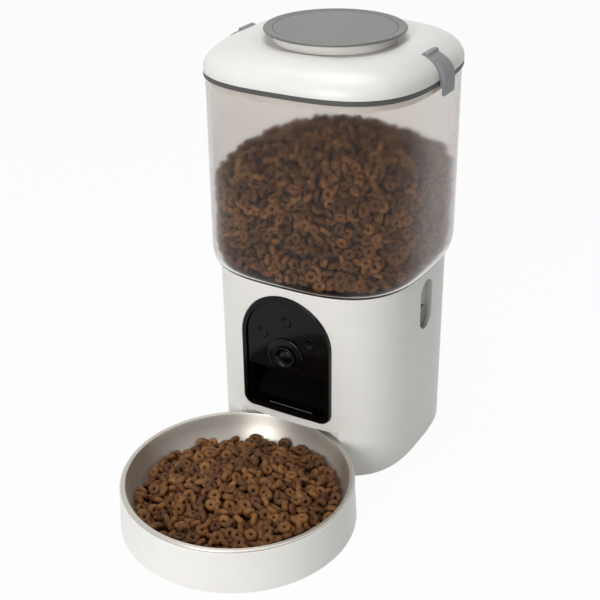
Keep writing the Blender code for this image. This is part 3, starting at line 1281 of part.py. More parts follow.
def latches(lift):
    x, z = latch_pivot()
    outline = [(u - x, v - z) for u, v in latch_outline()]
    width = LATCH_HALF_WIDTH
    for side, name in ((-1, "left"), (1, "right")):
        hinge = frame(f"latch_hinge_{name}", (side * x, 0, z), lift)
        shape = mirrored(outline) if side < 0 else outline
        latch = plate(f"latch_{name}", shape, -width, width, "front", "latch_plastic", hinge)
        radius, end = PIN_RADIUS + GAP, 2 * width
        bore = rod(f"latch_bore_{name}", radius, -end, end, None, hinge, HERE, TO_FRONT, SMALL_STEPS)
        boolean(latch, bore)
        reach = width + PIN_MARGIN
        place = (side * x, 0, z)
        pin = f"latch_pin_{name}"
        rod(pin, PIN_RADIUS, -reach, reach, "bright_steel", lift, place, TO_FRONT, SMALL_STEPS)


def desiccant_cup(lift):
    flange_z = LID_NECK_Z + GAP
    top = flange_z + CUP_FLANGE
    low = flange_z - CUP_DEPTH
    inner = CUP_RADIUS - CUP_WALL
    profile = [(0, low + CUP_WALL), (inner, low + CUP_WALL), (inner, top), (LID_NECK_RADIUS - GAP, top)]
    profile += [(LID_NECK_RADIUS - GAP, flange_z), (CUP_RADIUS, flange_z), (CUP_RADIUS, low), (0, low)]
    cup = turned("desiccant_cup", profile, "natural_plastic", lift)
    for number in range(CUP_SLOTS):
        y = (number - (CUP_SLOTS - 1) / 2) * 4 * CUP_SLOT_WIDTH
        low_corner = (-CUP_SLOT_LENGTH, y - CUP_SLOT_WIDTH / 2, low - OVERRUN)
        high_corner = (CUP_SLOT_LENGTH, y + CUP_SLOT_WIDTH / 2, low + CUP_WALL + OVERRUN / 2)
        boolean(cup, box(f"cup_slot_{number + 1}", low_corner, high_corner, None, lift))


def cap(lift):
    turn_axis = frame("cap_axis", (0, 0, 0), lift)
    low = LID_DISH_Z + GAP
    inner = LID_NECK_RADIUS + GAP
    profile = [(COLLAR_RADIUS, COLLAR_TOP_Z), (COLLAR_FOOT_RADIUS, low), (inner, low), (inner, COLLAR_TOP_Z)]
    turned("cap_collar", profile, "white_plastic", turn_axis, steps=BOWL_STEPS, loop=True)
    low = COLLAR_TOP_Z + GAP
    top = low + CAP_THICKNESS
    seat = top - CAP_RIM_FALL - DISC_THICKNESS
    well = DISC_RADIUS + GAP
    profile = [(0, seat), (well, seat), (well, top - CAP_RIM_FALL), (CAP_RADIUS - CAP_EDGE, top)]
    profile += [(CAP_RADIUS, top - CAP_EDGE), (CAP_RADIUS, low + CAP_EDGE)]
    profile += [(CAP_RADIUS - CAP_EDGE, low), (0, low)]
    turned("cap_rim", profile, "grey_plastic", turn_axis, steps=BOWL_STEPS)
    disc_low = seat + GAP
    disc_top = seat + DISC_THICKNESS
    rod("cap_disc", DISC_RADIUS, disc_low, disc_top, "grey_plastic", turn_axis, steps=BOWL_STEPS)


def bowl_holder(slide):
    low = SHELL_LIFT
    inner = HOLDER_RADIUS - HOLDER_WALL
    floor = low + HOLDER_FLOOR
    profile = [(0, floor), (inner - HOLDER_FLOOR, floor), (inner, floor + HOLDER_FLOOR)]
    profile += [(inner, HOLDER_TOP_Z), (HOLDER_RADIUS - HOLDER_LIP_RADIUS, HOLDER_TOP_Z)]
    profile.append((HOLDER_RADIUS, HOLDER_TOP_Z - HOLDER_LIP_RADIUS))
    centre = (FOOT_SPREAD_RADIUS - HOLDER_FOOT_RADIUS, low + HOLDER_FOOT_RADIUS)
    profile += arc(centre, HOLDER_FOOT_RADIUS, 0, -math.pi / 2, 2)
    groove = low + PAD_SINK
    outer, inner_pad = PAD_RADIUS + GAP, PAD_RADIUS - PAD_WIDTH - GAP
    profile += [(outer, low), (outer, groove), (inner_pad, groove), (inner_pad, low), (0, low)]
    turned("bowl_holder", profile, "white_plastic", slide, steps=BOWL_STEPS)
    top = groove - GAP
    inner_pad = PAD_RADIUS - PAD_WIDTH
    profile = [(PAD_RADIUS, top), (PAD_RADIUS, 0), (inner_pad, 0), (inner_pad, top)]
    turned("holder_pad", profile, "rubber", slide, steps=BOWL_STEPS, loop=True)


def bowl(lift):
    """A pressed dish with a flat rolled lip that sits on the holder's edge."""
    lip_inner = BOWL_LIP_RADIUS - BOWL_LIP_WIDTH
    top = BOWL_LIP_Z + BOWL_LIP_HEIGHT
    floor = BOWL_UNDER_Z + BOWL_WALL
    depth = top - floor
    span = lip_inner
    inside = [(span * (1 - inward), floor + depth * up) for inward, up in BOWL_PROFILE_SHARES]
    profile = [(0, floor)] + inside[::-1]
    edge = BOWL_LIP_HEIGHT / 3
    profile += [(BOWL_LIP_RADIUS - edge, top), (BOWL_LIP_RADIUS, top - edge), (BOWL_LIP_RADIUS, BOWL_LIP_Z)]
    outer_start = HOLDER_RADIUS - HOLDER_WALL - GAP - BOWL_WALL
    outside = [(min(radius + BOWL_WALL, outer_start), z - BOWL_WALL) for radius, z in inside[1:]]
    profile += [(outer_start, BOWL_LIP_Z)] + outside + [(0, BOWL_UNDER_Z)]
    turned("bowl", profile, "brushed_steel", lift, steps=BOWL_STEPS)


def build():
    tower = frame("tower", (0, TOWER_Y, 0))
    base_shell(tower)
    bowl_dock(tower)
    bottom_cover(tower)
    feet(tower)
    cover_screws(tower)
    battery_bay(tower)
    panel_bezel(tower)
    panel_face(tower)
    camera(tower)
    front_buttons(tower)
    release_buttons(tower)
    hopper_deck(tower)
    chute(tower)
    drive(tower)
    electronics(tower)
    hopper_lift = frame("hopper_lift", (0, 0, 0), tower)
    hopper(hopper_lift)
    dispensing_rotor(hopper_lift)
    lid_lift = frame("lid_lift", (0, 0, 0), hopper_lift)
    lid_shell(lid_lift)
    latches(lid_lift)
    desiccant_cup(lid_lift)
    cap(lid_lift)
    holder_slide = frame("holder_slide", (0, -BOWL_SETBACK, 0), tower)
    bowl_holder(holder_slide)
    bowl(frame("bowl_lift", (0, 0, 0), holder_slide))


clear_scene()
PARTS = new_collection(OBJECT_NAME)
CUTTERS = new_collection(f"{OBJECT_NAME}_cutters")
build()
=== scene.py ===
import math
import random

import bmesh
import bpy
from mathutils import Matrix, Vector, noise


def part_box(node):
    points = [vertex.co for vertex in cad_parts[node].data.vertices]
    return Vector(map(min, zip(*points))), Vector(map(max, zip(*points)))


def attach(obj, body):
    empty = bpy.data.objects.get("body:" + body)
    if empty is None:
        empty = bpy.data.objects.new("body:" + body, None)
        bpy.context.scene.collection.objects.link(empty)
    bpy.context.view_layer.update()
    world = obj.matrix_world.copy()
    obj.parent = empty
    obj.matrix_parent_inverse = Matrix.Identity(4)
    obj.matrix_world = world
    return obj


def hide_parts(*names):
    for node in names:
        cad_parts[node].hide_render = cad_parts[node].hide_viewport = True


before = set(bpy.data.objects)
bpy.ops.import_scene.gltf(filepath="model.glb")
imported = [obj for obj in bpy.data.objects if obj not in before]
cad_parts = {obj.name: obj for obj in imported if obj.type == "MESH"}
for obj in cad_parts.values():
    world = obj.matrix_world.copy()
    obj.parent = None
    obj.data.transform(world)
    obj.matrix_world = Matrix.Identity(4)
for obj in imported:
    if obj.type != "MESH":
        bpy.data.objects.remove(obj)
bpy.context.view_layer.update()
scene = bpy.context.scene

towerY = sum(corner.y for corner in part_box("lid_shell")) / 2  # the tower's axis
bowlY = sum(corner.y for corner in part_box("bowl")) / 2  # the bowl's axis


# helpers for materials

def linear(code):  # an sRGB hex colour as the linear one that shaders take
    parts = [int(code[at:at + 2], 16) / 255 for at in (1, 3, 5)]
    return [part / 12.92 if part <= 0.04045 else ((part + 0.055) / 1.055) ** 2.4 for part in parts] + [1]


def addNode(material, kind, inputs=None, stops=(), **settings):
    node = material.node_tree.nodes.new(kind)
    for name, value in settings.items():
        setattr(node, name, value)
    for name, value in (inputs or {}).items():
        if isinstance(value, bpy.types.NodeSocket):
            material.node_tree.links.new(value, node.inputs[name])
        else:
            node.inputs[name].default_value = value
    while stops and len(node.color_ramp.elements) < len(stops):
        node.color_ramp.elements.new(1)
    for index, (at, colour) in enumerate(stops):
        node.color_ramp.elements[index].position = at
        node.color_ramp.elements[index].color = linear(colour)
    return node


def newMaterial(name, colour, roughness, **sockets):
    material = bpy.data.materials.new(name)
    material.use_nodes = True
    material.diffuse_color = linear(colour)
    shader = material.node_tree.nodes["Principled BSDF"]
    shader.inputs["Base Color"].default_value = linear(colour)
    shader.inputs["Roughness"].default_value = roughness
    for socket, value in sockets.items():
        shader.inputs[socket.replace("_", " ")].default_value = value
    return material, shader


def objectPoint(material, scale=(1, 1, 1), place=(0, 0, 0)):
    where = addNode(material, "ShaderNodeTexCoord")
    return addNode(material, "ShaderNodeMapping", {"Vector": where.outputs["Object"], "Scale": scale,
        "Location": place}).outputs[0]


def moulded(name, colour, roughness, grain=1600, relief=0.00001, spread=0.05, tone=None, **sockets):
    # plastic or rubber from a mould: a fine grain in the surface, and a gloss that varies a little
    material, shader = newMaterial(name, colour, roughness, **sockets)
    link = material.node_tree.links.new
    point = objectPoint(material)
    wide = addNode(material, "ShaderNodeTexNoise", {"Vector": point, "Scale": 38, "Detail": 3}).outputs["Fac"]
    fine = addNode(material, "ShaderNodeTexNoise", {"Vector": point, "Scale": grain, "Detail": 2}).outputs["Fac"]
    link(addNode(material, "ShaderNodeMapRange", {"Value": wide, "To Min": roughness - spread,
        "To Max": roughness + spread}).outputs[0], shader.inputs["Roughness"])
    bump = addNode(material, "ShaderNodeBump", {"Height": fine, "Strength": 1, "Distance": relief})
    link(bump.outputs[0], shader.inputs["Normal"])
    if tone:
        link(addNode(material, "ShaderNodeValToRGB", {"Fac": wide},
            stops=((0.3, colour), (0.7, tone))).outputs["Color"], shader.inputs["Base Color"])
    return material


# the finishes: colours matched, and each grain's scale from its real size, where 1000 is about a millimetre
# a few grains are finer than a render shows, and are drawn a little coarser

# soft wide shine, no sparkle
whitePlastic = moulded("white satin ABS", "#eceae5", 0.34, 900, 0.000008, 0.03, "#efede8", Coat_Weight=0.08,
    Coat_Roughness=0.15)
# spark-eroded mould, so it looks flat and even
greyPlastic = moulded("grey textured ABS", "#7f7f7c", 0.48, 2600, 0.00003, 0.05, "#7b7b78")
# smoother, so its edge draws a thin light line
ringPlastic = moulded("darker grey ABS", "#6a6a68", 0.36, 2000, 0.00001, 0.04)
# cool grey with a dull sheen along its curve
latchPlastic = moulded("satin grey nylon", "#86878a", 0.38, 1500, 0.00001, 0.05)
# matt, drinks the light in the seam
bandRubber = moulded("dark grey silicone seal", "#4b4a49", 0.55, 1400, 0.00001, 0.05)
footRubber = moulded("black rubber", "#2b2b2b", 0.78, 1800, 0.00003, 0.06)  # dead matt
# polished mould: deep black with a dim mirror of the room
glossBlack = moulded("piano black ABS", "#060607", 0.10, 700, 0.000002, 0.02, Specular_IOR_Level=0.18)
# a thin bright line at the mouth's lip
beadBlack = moulded("polished black ABS", "#1a1a1b", 0.12, 700, 0.000002, 0.02, Coat_Weight=1, Coat_Roughness=0.1)
# keeps the food's way dark
satinBlack = moulded("satin black ABS", "#030304", 0.5, 1500, 0.00001, 0.05, Specular_IOR_Level=0.02)
paleSilicone = moulded("pale silicone", "#d9d8d4", 0.52, 1200, 0.00002, 0.05)  # milky and soft
naturalPlastic = moulded("natural acetal", "#e6e4dc", 0.38, 1300, 0.00001, 0.05)  # waxy off-white, as moulded gears are
cellSleeve = moulded("plain shrink sleeve", "#35353a", 0.30, 1500, 0.000006, 0.05)  # smooth film with a slight gloss
# mid grey on the faces inside the finger recesses, darker than the white body and paler than the buttons, so they stand
# out on it
recessGrey = moulded("recess grey ABS", "#c2c4bf", 0.42, 1500, 0.00001, 0.05)
lightLens = moulded("smoked light window", "#1d1d1f", 0.2, 900, 0.000004, 0.03)  # nearly hidden in the black face
# dark, with one cool glint
lensGlass = moulded("coated lens glass", "#050507", 0.05, 500, 0.000001, 0.02, Specular_IOR_Level=0.25,
    Specular_Tint=(0.75, 0.8, 1, 1))


def makeBoard():  # green solder mask over faint copper tracks, which show as a lighter net about 2.4 mm apart
    material, shader = newMaterial("green circuit board", "#0d4a2b", 0.42)
    point = objectPoint(material, (420, 420, 420))
    tracks = addNode(material, "ShaderNodeTexBrick",
        {"Vector": point, "Scale": 1, "Color1": linear("#0d4a2b"), "Color2": linear("#0f5230"),
        "Mortar": linear("#1b6a3d"), "Mortar Size": 0.06})
    material.node_tree.links.new(tracks.outputs["Color"], shader.inputs["Base Color"])
    return material


def makeSteel(name, colour, roughness, centre, around):
    # spun steel: turning marks about 0.4 mm apart run round the axis, so each highlight is drawn out in a fan
    material, shader = newMaterial(name, colour, roughness, Metallic=1)
    link = material.node_tree.links.new
    place = objectPoint(material, place=(-centre[0], -centre[1], -centre[2]))
    split = addNode(material, "ShaderNodeSeparateXYZ", {"Vector": place})
    flat = addNode(material, "ShaderNodeCombineXYZ", {"X": split.outputs["X"], "Y": split.outputs["Y"]})
    reach = addNode(material, "ShaderNodeVectorMath", {0: flat.outputs[0]}, operation="LENGTH").outputs["Value"]
    rings = addNode(material, "ShaderNodeCombineXYZ",
        {"X": reach, "Z": split.outputs["Z"]}).outputs[0] if around else place
    marks = addNode(material, "ShaderNodeTexNoise",
        {"Vector": rings, "Scale": 2600, "Detail": 4, "Roughness": 0.7}).outputs["Fac"]
    slow = addNode(material, "ShaderNodeTexNoise", {"Vector": place, "Scale": 22, "Detail": 3}).outputs["Fac"]
    link(addNode(material, "ShaderNodeMapRange", {"Value": slow, "To Min": roughness - 0.05,
        "To Max": roughness + 0.06}).outputs[0], shader.inputs["Roughness"])
    bump = addNode(material, "ShaderNodeBump", {"Height": marks, "Strength": 1, "Distance": 0.000008})
    link(bump.outputs[0], shader.inputs["Normal"])
    if around:  # the turning marks stretch each highlight across them, out from the middle
        along = addNode(material, "ShaderNodeVectorMath", {0: (0, 0, 1), 1: flat.outputs[0]},
            operation="CROSS_PRODUCT").outputs["Vector"]
        shader.inputs["Anisotropic"].default_value = 0.65
        shader.inputs["Anisotropic Rotation"].default_value = 0.25
        link(addNode(material, "ShaderNodeVectorMath", {0: along}, operation="NORMALIZE").outputs["Vector"],
            shader.inputs["Tangent"])
    return material


# polished clear plastic with a warm grey tint, slightly frosted: what lies against it is clear, what lies back is
# hazy
def makeSmoky():
    # SAN is 1.57, matched down so that the wall's faces don't veil the food
    material, shader = newMaterial("smoky clear SAN", "#e6e2df", 0.14, Transmission_Weight=1, IOR=1.25,
        Specular_IOR_Level=0.1)
    point = objectPoint(material)
    wide = addNode(material, "ShaderNodeTexNoise", {"Vector": point, "Scale": 30, "Detail": 2}).outputs["Fac"]
    material.node_tree.links.new(addNode(material, "ShaderNodeMapRange",
        {"Value": wide, "To Min": 0.11, "To Max": 0.17}).outputs[0], shader.inputs["Roughness"])
    return material


# baked dry food: toasted unevenly in patches of about 5 mm, with pores just under 1 mm that break its shine
def makeKibble():
    material, shader = newMaterial("baked dry food", "#6e4526", 0.62, Specular_IOR_Level=0.35)
    link = material.node_tree.links.new
    point = objectPoint(material)
    tint = addNode(material, "ShaderNodeAttribute", attribute_name="toast").outputs["Fac"]
    patch = addNode(material, "ShaderNodeTexNoise",
        {"Vector": point, "Scale": 210, "Detail": 5, "Roughness": 0.65}).outputs["Fac"]
    mixed = addNode(material, "ShaderNodeMix", {"Factor": 0.38, "A": patch, "B": tint}).outputs["Result"]
    link(addNode(material, "ShaderNodeValToRGB", {"Fac": mixed},
        stops=((0.20, "#432713"), (0.44, "#6c4524"), (0.62, "#885b30"), (0.85, "#a27444"))).outputs["Color"],
        shader.inputs["Base Color"])
    pores = addNode(material, "ShaderNodeTexNoise",
        {"Vector": point, "Scale": 1100, "Detail": 6, "Roughness": 0.7}).outputs["Fac"]
    bump = addNode(material, "ShaderNodeBump", {"Height": pores, "Strength": 1, "Distance": 0.0006})
    link(bump.outputs[0], shader.inputs["Normal"])
    return material


bowlSteel = makeSteel("spun stainless steel", "#c2beb6", 0.42, (0, bowlY, 0), True)
plainSteel = makeSteel("plated steel", "#c6c6c6", 0.26, (0, 0, 0), False)
smokyPlastic = makeSmoky()
boardGreen = makeBoard()
kibbleBrown = makeKibble()
# painted shade: a dark brown for the hearts of the heaps, standing for the shade between and behind the food rings
paintedShadeFood = moulded("painted shade among dry food", "#2c190d", 0.8, 900, 0.0003, 0.05, "#3a2212")
print("finishes made")


# helpers for shapes

facing = {  # the way that a piece's own +Z looks
    "up": Matrix.Identity(4),
    "front": Matrix.Rotation(math.radians(90), 4, "X"),
    "back": Matrix.Rotation(math.radians(-90), 4, "X"),
    "right": Matrix.Rotation(math.radians(90), 4, "Y"),
    "left": Matrix.Rotation(math.radians(-90), 4, "Y"),
}


def madeItems(made, kind=bmesh.types.BMVert):
    return [item for item in made["geom"] if isinstance(item, kind)]


def roundOff(bm, items, width, segments, affect="VERTICES"):
    bmesh.ops.bevel(bm, geom=items, offset=width, offset_type="OFFSET", segments=segments, profile=0.5,
        affect=affect, material=-1)


def makeObject(name, bm, place=(0, 0, 0), look="up"):
    bmesh.ops.transform(bm, verts=bm.verts, matrix=Matrix.Translation(place) @ facing[look])
    bmesh.ops.recalc_face_normals(bm, faces=bm.faces)
    mesh = bpy.data.meshes.new(name)
    bm.to_mesh(mesh)
    bm.free()
    obj = bpy.data.objects.new(name, mesh)
    scene.collection.objects.link(obj)
    return obj


def sectionPoint(turn, half, power):  # a point round the tower's rounded square
    across, along = math.cos(turn), math.sin(turn)
    return (half * math.copysign(abs(across) ** (2 / power), across),
            half * math.copysign(abs(along) ** (2 / power), along))


def loftRings(name, rings, closed=False, steps=144, place=None):
    # one circle, extruded from ring to ring and pulled out to each (half width, height, power)
    bm = bmesh.new()
    ring = bmesh.ops.create_circle(bm, segments=steps, radius=1)["verts"]
    turns = {vert: math.atan2(vert.co.y, vert.co.x) for vert in ring}
    edges = firstEdges = bm.edges[:]
    for index, (half, height, power) in enumerate(rings):
        if index:
            made = bmesh.ops.extrude_edge_only(bm, edges=edges)
            ring, edges = madeItems(made), madeItems(made, bmesh.types.BMEdge)
            nearby = {vert: [edge.other_vert(vert) for edge in vert.link_edges] for vert in ring}
            turns = {vert: next(turns[other] for other in nearby[vert] if other in turns) for vert in ring}
        for vert in ring:
            vert.co = (*sectionPoint(turns[vert], half, power), height)
    if closed:
        bmesh.ops.bridge_loops(bm, edges=firstEdges + edges)
    else:
        bmesh.ops.edgeloop_fill(bm, edges=firstEdges)
        bmesh.ops.edgeloop_fill(bm, edges=edges)
    return makeObject(name, bm, place or (0, towerY, 0))


def turnAround(bm, steps):
    bmesh.ops.spin(bm, geom=bm.verts[:] + bm.edges[:], cent=(0, 0, 0), axis=(0, 0, 1), angle=math.tau,
        steps=steps, use_merge=True, use_duplicate=False)


def spinProfile(name, profile, place, look="up", steps=96, closed=False):
    # a profile of (radius, height) or (radius, height, rounding), turned about its own Z
    bm = bmesh.new()
    verts = [bm.verts.new((point[0], 0, point[1])) for point in profile]
    for start, end in zip(verts, verts[1:] + verts[:1] if closed else verts[1:]):
        bm.edges.new((start, end))
    for vert, point in zip(verts, profile):
        if len(point) > 2:
            roundOff(bm, [vert], point[2], 4)
    turnAround(bm, steps)
    bmesh.ops.remove_doubles(bm, verts=bm.verts, dist=0.000001)
    return makeObject(name, bm, place, look)


def plateOf(name, corners, low, high, look="front", place=None, edge=0, segments=14):
    # a flat outline of (u, v, corner radius), as thick as from low to high along the way that it looks
    bm = bmesh.new()
    verts = [bm.verts.new((corner[0], corner[1], low)) for corner in corners]
    bm.faces.new(verts)
    for vert, corner in zip(verts, corners):
        if len(corner) > 2:
            roundOff(bm, [vert], corner[2] - 0.0000005, segments)
    bmesh.ops.remove_doubles(bm, verts=bm.verts, dist=0.000002)
    base = bm.faces[:]
    made = bmesh.ops.extrude_face_region(bm, geom=base)
    top = madeItems(made)
    bmesh.ops.translate(bm, verts=top, vec=(0, 0, high - low))
    if edge:
        topSet = set(top)
        rim = [item for item in bm.edges if item.verts[0] in topSet and item.verts[1] in topSet]
        roundOff(bm, rim, edge, 4, "EDGES")
    return makeObject(name, bm, place or (0, towerY, 0), look)


def boxCorners(left, low, right, high, *corner):
    return [(left, low, *corner), (right, low, *corner), (right, high, *corner), (left, high, *corner)]


def archCorners(half, low, top, corner):
    return [(-half, low, corner), (half, low, corner), (half, top, half), (-half, top, half)]


def rodOf(name, radius, low, high, place, look="up", steps=64):
    return spinProfile(name, [(0, high), (radius, high), (radius, low), (0, low)], place, look, steps)


def carve(obj, cutter, operation="DIFFERENCE"):
    cut = obj.modifiers.new(operation.lower(), "BOOLEAN")
    cut.operation, cut.solver, cut.object = operation, "EXACT", cutter
    cutter.hide_render = True
    return cutter


def softenEdges(obj, width, turn):
    bevel = obj.modifiers.new("softened edges", "BEVEL")
    bevel.width, bevel.segments, bevel.limit_method, bevel.angle_limit = width, 2, "ANGLE", math.radians(turn)
    bevel.profile, bevel.material = 0.5, -1


def settle(obj, softEdge=0):  # applies what is on the piece, and clears its cutters away
    cutters = [item.object for item in obj.modifiers if item.type == "BOOLEAN"]
    if softEdge:
        softenEdges(obj, softEdge, 50)
    graph = bpy.context.evaluated_depsgraph_get()
    mesh = bpy.data.meshes.new_from_object(obj.evaluated_get(graph))
    obj.modifiers.clear()
    obj.data = mesh
    for cutter in cutters:
        bpy.data.objects.remove(cutter)


def coatIn(obj, material):
    obj.data.materials.clear()
    obj.data.materials.append(material)
    obj.data.shade_smooth()


def finishPiece(obj, material, body, slot, *nodes, sharp=32):
    coatIn(obj, material)
    obj.data.set_sharp_from_angle(angle=math.radians(sharp))
    level = obj.modifiers.new("level flats", "WEIGHTED_NORMAL")
    level.keep_sharp = True
    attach(obj, body)
    if nodes:
        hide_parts(*nodes)
    return obj


def refineNode(name, material, softEdge=0, sharp=32):  # a CAD node that keeps its own shape
    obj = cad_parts[name]
    coatIn(obj, material)
    weld = obj.modifiers.new("weld", "WELD")
    weld.merge_threshold = 0.000005
    if softEdge:
        softenEdges(obj, softEdge, 40)
    split = obj.modifiers.new("crisp edges", "EDGE_SPLIT")
    split.split_angle = math.radians(sharp)


# the base housing

base = {
    "lift": 0.0006, "top": 0.1694, "bottomHalf": 0.0862, "topHalf": 0.0861, "wall": 0.0030, "power": 3.05,
    "footRound": 0.0010, "lipRound": 0.0008,
    "dockRadius": 0.0953, "dockTop": 0.0440, "windowHalf": 0.0413, "windowLow": 0.0505, "windowTop": 0.1613,
    "windowCorner": 0.0095,
    "recessHalf": 0.0115, "recessLow": 0.1140, "recessTop": 0.1590, "recessFloor": 0.0811,
    "recessFrame": 0.0028, "recessBack": 0.0048, "releaseZ": 0.1255, "releaseBore": 0.0088,
    "socketX": 0.0300, "socketZ": 0.0200, "socketBore": 0.0048, "grilleZ": 0.0740, "grillePitch": 0.0038,
    "grilleHalf": 0.0110, "grilleSlot": 0.0008,
}


def baseHalf(z):
    share = (z - base["lift"]) / (base["top"] - base["lift"])
    return base["bottomHalf"] + (base["topHalf"] - base["bottomHalf"]) * share


def makeBase():
    power, wall, lip = base["power"], base["wall"], base["lipRound"]
    rings = [(base["topHalf"] - wall, base["top"], power)]
    for step in range(5):  # the rounded top edge
        turn = math.radians(90 - 22.5 * step)
        rings.append((base["topHalf"] - lip + lip * math.cos(turn), base["top"] - lip + lip * math.sin(turn), power))
    rows = 14
    for row in range(1, rows):
        z = base["top"] - lip - (base["top"] - lip - 0.004) * row / rows
        rings.append((baseHalf(z), z, power))
    foot = base["footRound"]
    for step in range(5):
        turn = math.radians(-22.5 * step)
        rings.append((base["bottomHalf"] - foot + foot * math.cos(turn),
            base["lift"] + foot + foot * math.sin(turn), power))
    rings.append((base["bottomHalf"] - wall, base["lift"], power))
    for row in range(1, 6):
        z = base["lift"] + (base["top"] - base["lift"]) * row / 6
        rings.append((baseHalf(z) - wall, z, power))
    shell = loftRings("baseHousing", rings, closed=True, steps=160)
    outer = baseHalf(base["releaseZ"])
    for side in (-1, 1):  # a thick wall behind each finger recess, the recess, and its button's bore
        way = "right" if side > 0 else "left"
        reach = base["recessHalf"] + base["recessFrame"]
        thick = boxCorners(-base["recessTop"] - base["recessFrame"], -reach,
            -base["recessLow"] + base["recessFrame"], reach)
        hollow = base["recessHalf"]
        slot = boxCorners(-base["recessTop"], -hollow, -base["recessLow"], hollow, hollow)
        if side < 0:
            thick, slot = [[(-u, *rest) for u, *rest in corners] for corners in (thick, slot)]
        carve(shell, plateOf(f"recessWall{way}", thick, base["recessFloor"] - base["recessBack"],
            outer - wall / 2, way), "UNION")
        carve(shell, plateOf(f"recess{way}", slot, base["recessFloor"], outer + 0.01, way, segments=16))
        carve(shell, rodOf(f"releaseBore{way}", base["releaseBore"], 0.07, 0.1, (0, towerY, base["releaseZ"]), way))
    window = archCorners(base["windowHalf"], base["windowLow"], base["windowTop"], base["windowCorner"])
    carve(shell, plateOf("panelWindow", window, 0.07, 0.1, segments=24))
    carve(shell, rodOf("dockCut", base["dockRadius"], -0.01, base["dockTop"], (0, bowlY, 0), steps=160))
    for row in range(5):
        z = base["grilleZ"] + (row - 2) * base["grillePitch"]
        half, slim = base["grilleHalf"], base["grilleSlot"]
        slot = boxCorners(-half, -z - slim, half, -z + slim, slim)
        carve(shell, plateOf(f"grille{row}", slot, 0.075, 0.095, "back", segments=6))
    carve(shell, rodOf("socketBore", base["socketBore"], 0.07, 0.1, (base["socketX"], towerY, base["socketZ"]),
        "back", 40))
    settle(shell, 0.0004)
    finishPiece(shell, whitePlastic, "base", "white_plastic", "base_shell")
    shell.data.materials.append(recessGrey)
    for face in shell.data.polygons:  # the finger recesses are lined in grey
        x, y, z = face.center
        slack = 0.0002
        deep = base["recessFloor"] - slack < abs(x) < baseHalf(z) - 0.0003
        within = abs(y - towerY) < base["recessHalf"] + slack
        if deep and within and base["recessLow"] - slack < z < base["recessTop"] + slack:
            face.material_index = 1


makeBase()
print("base housing made")


# the hopper: one clear moulding with its funnel and neck

hopper = {
    "low": 0.1697, "top": 0.3263, "bottomHalf": 0.0880, "bellyHalf": 0.0921, "topHalf": 0.0915, "bellyRise": 0.0170,
    "wall": 0.0024, "power": 3.05, "ledge": 0.0075, "floorWall": 0.0014,
    "neckRadius": 0.0410, "neckWall": 0.0022, "neckLow": 0.1236, "neckTop": 0.1481, "neckFloor": 0.1256,
    "outletOuter": 0.0358, "outletInner": 0.0150, "outletTurn": 38, "shaftRadius": 0.0046,
    "bandHalf": 0.0928, "bandInner": 0.0878, "bandLow": 0.3266, "bandTop": 0.3302,
}


def hopperSide(steps=10):  # (half width, height) up the round from the joint, and on to the rim
    points = []
    for step in range(steps + 1):
        turn = math.pi / 2 * step / steps
        points.append((hopper["bottomHalf"] + (hopper["bellyHalf"] - hopper["bottomHalf"]) * math.sin(turn),
                       hopper["low"] + hopper["bellyRise"] * (1 - math.cos(turn))))
    bellyZ, span = hopper["low"] + hopper["bellyRise"], hopper["top"] - hopper["low"] - hopper["bellyRise"]
    for row in range(1, 7):
        share = row / 6
        points.append((hopper["bellyHalf"] + (hopper["topHalf"] - hopper["bellyHalf"]) * share,
                       bellyZ + span * share))
    return points


def makeHopper():
    power, wall = hopper["power"], hopper["wall"]
    neck, inner = hopper["neckRadius"], hopper["neckRadius"] - hopper["neckWall"]
    wide = hopper["bottomHalf"] - hopper["ledge"]
    floor = hopper["low"] + hopper["floorWall"]
    rings = [(inner, hopper["neckFloor"], 2), (inner, hopper["neckTop"] + wall / 2, 2), (wide - wall / 2, floor, power)]
    rings += [(half - wall, z + hopper["floorWall"], power) for half, z in hopperSide()[1:-1]]
    rings.append((hopper["topHalf"] - wall, hopper["top"], power))
    rings += [(half, z, power) for half, z in hopperSide()[::-1]]
    rings += [(wide, hopper["low"], power), (neck, hopper["neckTop"], 2), (neck, hopper["neckLow"], 2)]
    shell = loftRings("clearHopper", rings, steps=144)
    sector, spread = [], hopper["outletTurn"]
    for radius, way, steps in ((hopper["outletOuter"], 1, 12), (hopper["outletInner"], -1, 6)):
        for step in range(steps + 1):
            turn = math.radians(-90 - way * spread + way * 2 * spread * step / steps)
            sector.append((radius * math.cos(turn), radius * math.sin(turn)))
    low, high = hopper["neckLow"] - 0.0036, hopper["neckFloor"] + 0.0014
    carve(shell, plateOf("outletCut", sector, low, high, "up"))
    carve(shell, rodOf("shaftCut", hopper["shaftRadius"], low, high, (0, towerY, 0), steps=24))
    settle(shell)
    finishPiece(shell, smokyPlastic, "hopper", "smoky_plastic", "hopper", sharp=30)
    outer, inner, low, high = hopper["bandHalf"], hopper["bandInner"], hopper["bandLow"], hopper["bandTop"]
    band = [(outer, high, power), (outer, low, power), (inner, low, power), (inner, high, power)]
    seal = loftRings("rimSeal", band, closed=True, steps=144)
    settle(seal, 0.0004)
    finishPiece(seal, bandRubber, "hopper", "dark_silicone", "rim_band")


makeHopper()
print("hopper made")


# the lid, with the slots and blocks of its two latches

lid = {
    "half": 0.0928, "low": 0.3305, "edge": 0.0014, "run": 0.0315, "rise": 0.0195, "wall": 0.0026, "power": 3.05,
    "dish": 0.0032, "dishRadius": 0.0500, "neckRadius": 0.0440, "neckWall": 0.0040, "neckHeight": 0.0058,
    "skirt": 0.0875, "skirtWall": 0.0018, "skirtDepth": 0.0105, "pivotTurn": 50, "pinDepth": 0.0017, "barrel": 0.0043,
    "latchHalf": 0.0097, "inlay": 0.0019, "crest": 0.0005, "proud": 0.0045,
    "lipDrop": 0.0118, "padDrop": 0.0056, "lipThick": 0.0026, "pinBore": 0.0011,
}
shoulderZ = lid["low"] + lid["edge"]
lidTop = shoulderZ + lid["rise"]


